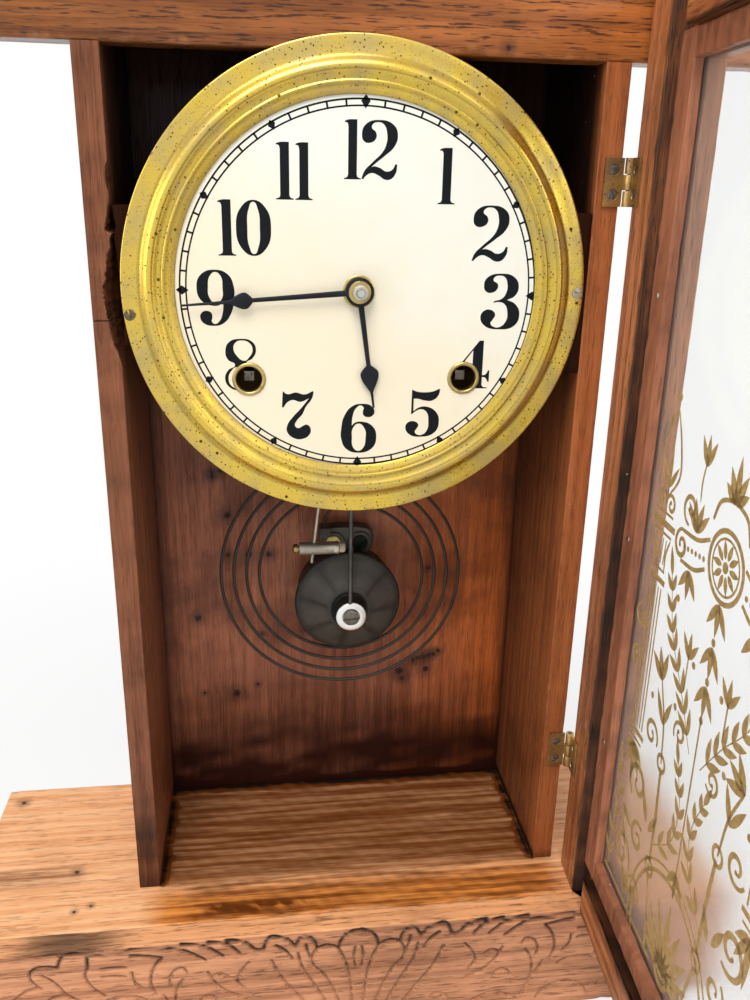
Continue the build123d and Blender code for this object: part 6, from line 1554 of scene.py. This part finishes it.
# %% Finishes on the CAD nodes that stay
STAYING = {
    HINGE_BRASS: ("case_hinge_leaves", "door_hinge_leaves", "door_hook", "hook_screw", "catch_pin"),
    DIAL_PAINT: ("dial_plate",),
    SHADED_PLATE_BRASS: ("front_plate",),
    PLATE_BRASS: ("back_plate", "plate_pillars", "time_great_wheel", "strike_great_wheel",
                  "time_second_wheel", "minute_wheel", "hour_wheel", "time_third_wheel", "escape_wheel",
                  "strike_second_wheel", "strike_fly"),
    DARK_STEEL: ("hinge_pins", "verge", "front_studs", "pillar_nuts"),
    BRIGHT_STEEL: ("center_arbor",),
    SCREW_STEEL: ("time_winding_arbor", "strike_winding_arbor"),
    NICKEL: ("hammer_arm",),
    SPRING_STEEL: ("mainsprings",),
}
BEVELLED = {"case_hinge_leaves", "door_hinge_leaves", "door_hook", "time_winding_arbor", "strike_winding_arbor"}
for finish, names in STAYING.items():
    for name in names:
        node = frame["nodes"][name]
        node.data.materials.clear()
        node.data.materials.append(finish)
        if name in BEVELLED:
            node.modifiers.new("join", "WELD").merge_threshold = 0.002 * MM
            flat = node.modifiers.new("flatten", "DECIMATE")
            flat.decimate_type, flat.angle_limit = "DISSOLVE", math.radians(2)
            edge = node.modifiers.new("soften", "BEVEL")
            edge.width, edge.segments, edge.limit_method, edge.angle_limit = 0.18 * MM, 2, "ANGLE", math.radians(40)
left_over = [name for name, node in frame["nodes"].items()
             if not node.hide_render and all(name not in names for names in STAYING.values())]
print("nodes that stay:", sum(map(len, STAYING.values())), "without a finish:", left_over)

# %% [markdown]
# ## Camera, floor and light
# The camera stands where the photographer stood: close, above the dial's middle and looking down into the case. Floor
# and sky are white to the camera, to reflections and to whatever shows through the glass, while the object is lit by a
# plain soft sky, one large lamp from the upper left and two weak ones from the sides.

# %% Camera
CAMERA_AT, YAW, PITCH, ROLL = np.array([-42.33, -402.97, 402.54]), 7.67, 19.01, 1.184
FOCAL_PX, PHOTO_HEIGHT, SENSOR = 884.85, 1000.0, 36.0
yaw, pitch, roll = np.radians([YAW, PITCH, ROLL])
right = np.array([math.cos(yaw), -math.sin(yaw), 0])
ahead = np.array([math.sin(yaw) * math.cos(pitch), math.cos(yaw) * math.cos(pitch), -math.sin(pitch)])
up = np.cross(right, ahead)
right, up = math.cos(roll) * right + math.sin(roll) * up, math.cos(roll) * up - math.sin(roll) * right
lens = bpy.data.cameras.new("camera")
lens.sensor_width, lens.sensor_fit = SENSOR, "AUTO"
lens.lens = FOCAL_PX * SENSOR / PHOTO_HEIGHT
lens.clip_start = 0.01
camera = bpy.data.objects.new("camera", lens)
pose = np.eye(4)
pose[:3, 0], pose[:3, 1], pose[:3, 2], pose[:3, 3] = right, up, -ahead, CAMERA_AT * MM
camera.matrix_world = Matrix(pose)
bpy.context.scene.collection.objects.link(camera)
bpy.context.scene.camera = camera
print("focal length:", round(lens.lens, 1), "mm on a sensor of", SENSOR, "mm")

# %% Floor
def seen_directly(tree):
    """1 for rays from the camera, from reflections and through glass, 0 for light that falls on the object."""
    path = add(tree, "LightPath", {})
    seen = calc(tree, "MAXIMUM", path.outputs["Is Camera Ray"], path.outputs["Is Glossy Ray"])
    return calc(tree, "MAXIMUM", seen, path.outputs["Is Transmission Ray"])


floor_paint = bpy.data.materials.new("pale_floor")
floor_paint.use_nodes = True
tree = floor_paint.node_tree
tree.nodes.clear()
plain = add(tree, "BsdfDiffuse", {"Color": (0.9, 0.9, 0.9, 1)})
white = add(tree, "Emission", {"Color": (1, 1, 1, 1), "Strength": 1.0})
reach = add(tree, "VectorMath", {0: place(tree, (1, 1, 0)), 1: (0, 0, 0)}, operation="DISTANCE").outputs["Value"]
share = times(tree, seen_directly(tree), span(tree, reach, 200, 700, 0.72, 1.0))
mixed = add(tree, "MixShader", {0: share, 1: plain.outputs[0], 2: white.outputs[0]})
tree.links.new(mixed.outputs[0], add(tree, "OutputMaterial", {}).inputs[0])
FLOOR_HALF = 30000.0
u = np.linspace(-FLOOR_HALF, FLOOR_HALF, 9)
fx, fy = np.meshgrid(u, u, indexing="ij")
floor_mesh = bpy.data.meshes.new("floor")
floor_mesh.from_pydata((np.stack([fx, fy, -0.3 + 0 * fx], -1).reshape(-1, 3) * MM).tolist(), [],
                       [f[::-1] for f in grid_faces(9, 9, wrap_cols=False)])
floor_mesh.materials.append(floor_paint)
floor = bpy.data.objects.new("floor", floor_mesh)
bpy.context.scene.collection.objects.link(floor)
print("floor:", 2 * FLOOR_HALF * MM, "m wide")

# %% Sky
world = bpy.data.worlds.new("studio")
world.use_nodes = True
bpy.context.scene.world = world
tree = world.node_tree
tree.nodes.clear()
SKY = 0.42
ambient = add(tree, "Background", {"Color": (0.96, 0.98, 1.0, 1), "Strength": SKY})
backdrop = add(tree, "Background", {"Color": (1, 1, 1, 1), "Strength": 1.0})
mixed = add(tree, "MixShader", {0: seen_directly(tree), 1: ambient.outputs[0], 2: backdrop.outputs[0]})
tree.links.new(mixed.outputs[0], add(tree, "OutputWorld", {}).inputs[0])


# %% Lamps
AIM = (0, 0, 250)


def softbox(name, at, size, watts, colour):
    """A square lamp that faces AIM, in millimetres; its axes come from the direction and the upright."""
    lamp = bpy.data.lights.new(name, "AREA")
    lamp.shape, lamp.size, lamp.energy, lamp.color = "SQUARE", size * MM, watts, colour
    back = np.subtract(at, AIM, dtype=float)
    back /= np.linalg.norm(back)
    across = np.cross([0, 0, 1.0], back)
    across /= np.linalg.norm(across)
    pose = np.eye(4)
    pose[:3, 0], pose[:3, 1], pose[:3, 2], pose[:3, 3] = across, np.cross(back, across), back, np.asarray(at) * MM
    made = bpy.data.objects.new(name, lamp)
    made.matrix_world = Matrix(pose)
    bpy.context.scene.collection.objects.link(made)


softbox("key", (-320, -1000, 1850), 900, 27.2, (1.0, 0.97, 0.93))
softbox("side", (-1500, -600, 700), 900, 6, (1.0, 0.98, 0.95))
softbox("fill", (1200, -1500, 900), 1200, 8, (0.95, 0.97, 1.0))
bpy.context.scene.view_settings.view_transform = "Standard"
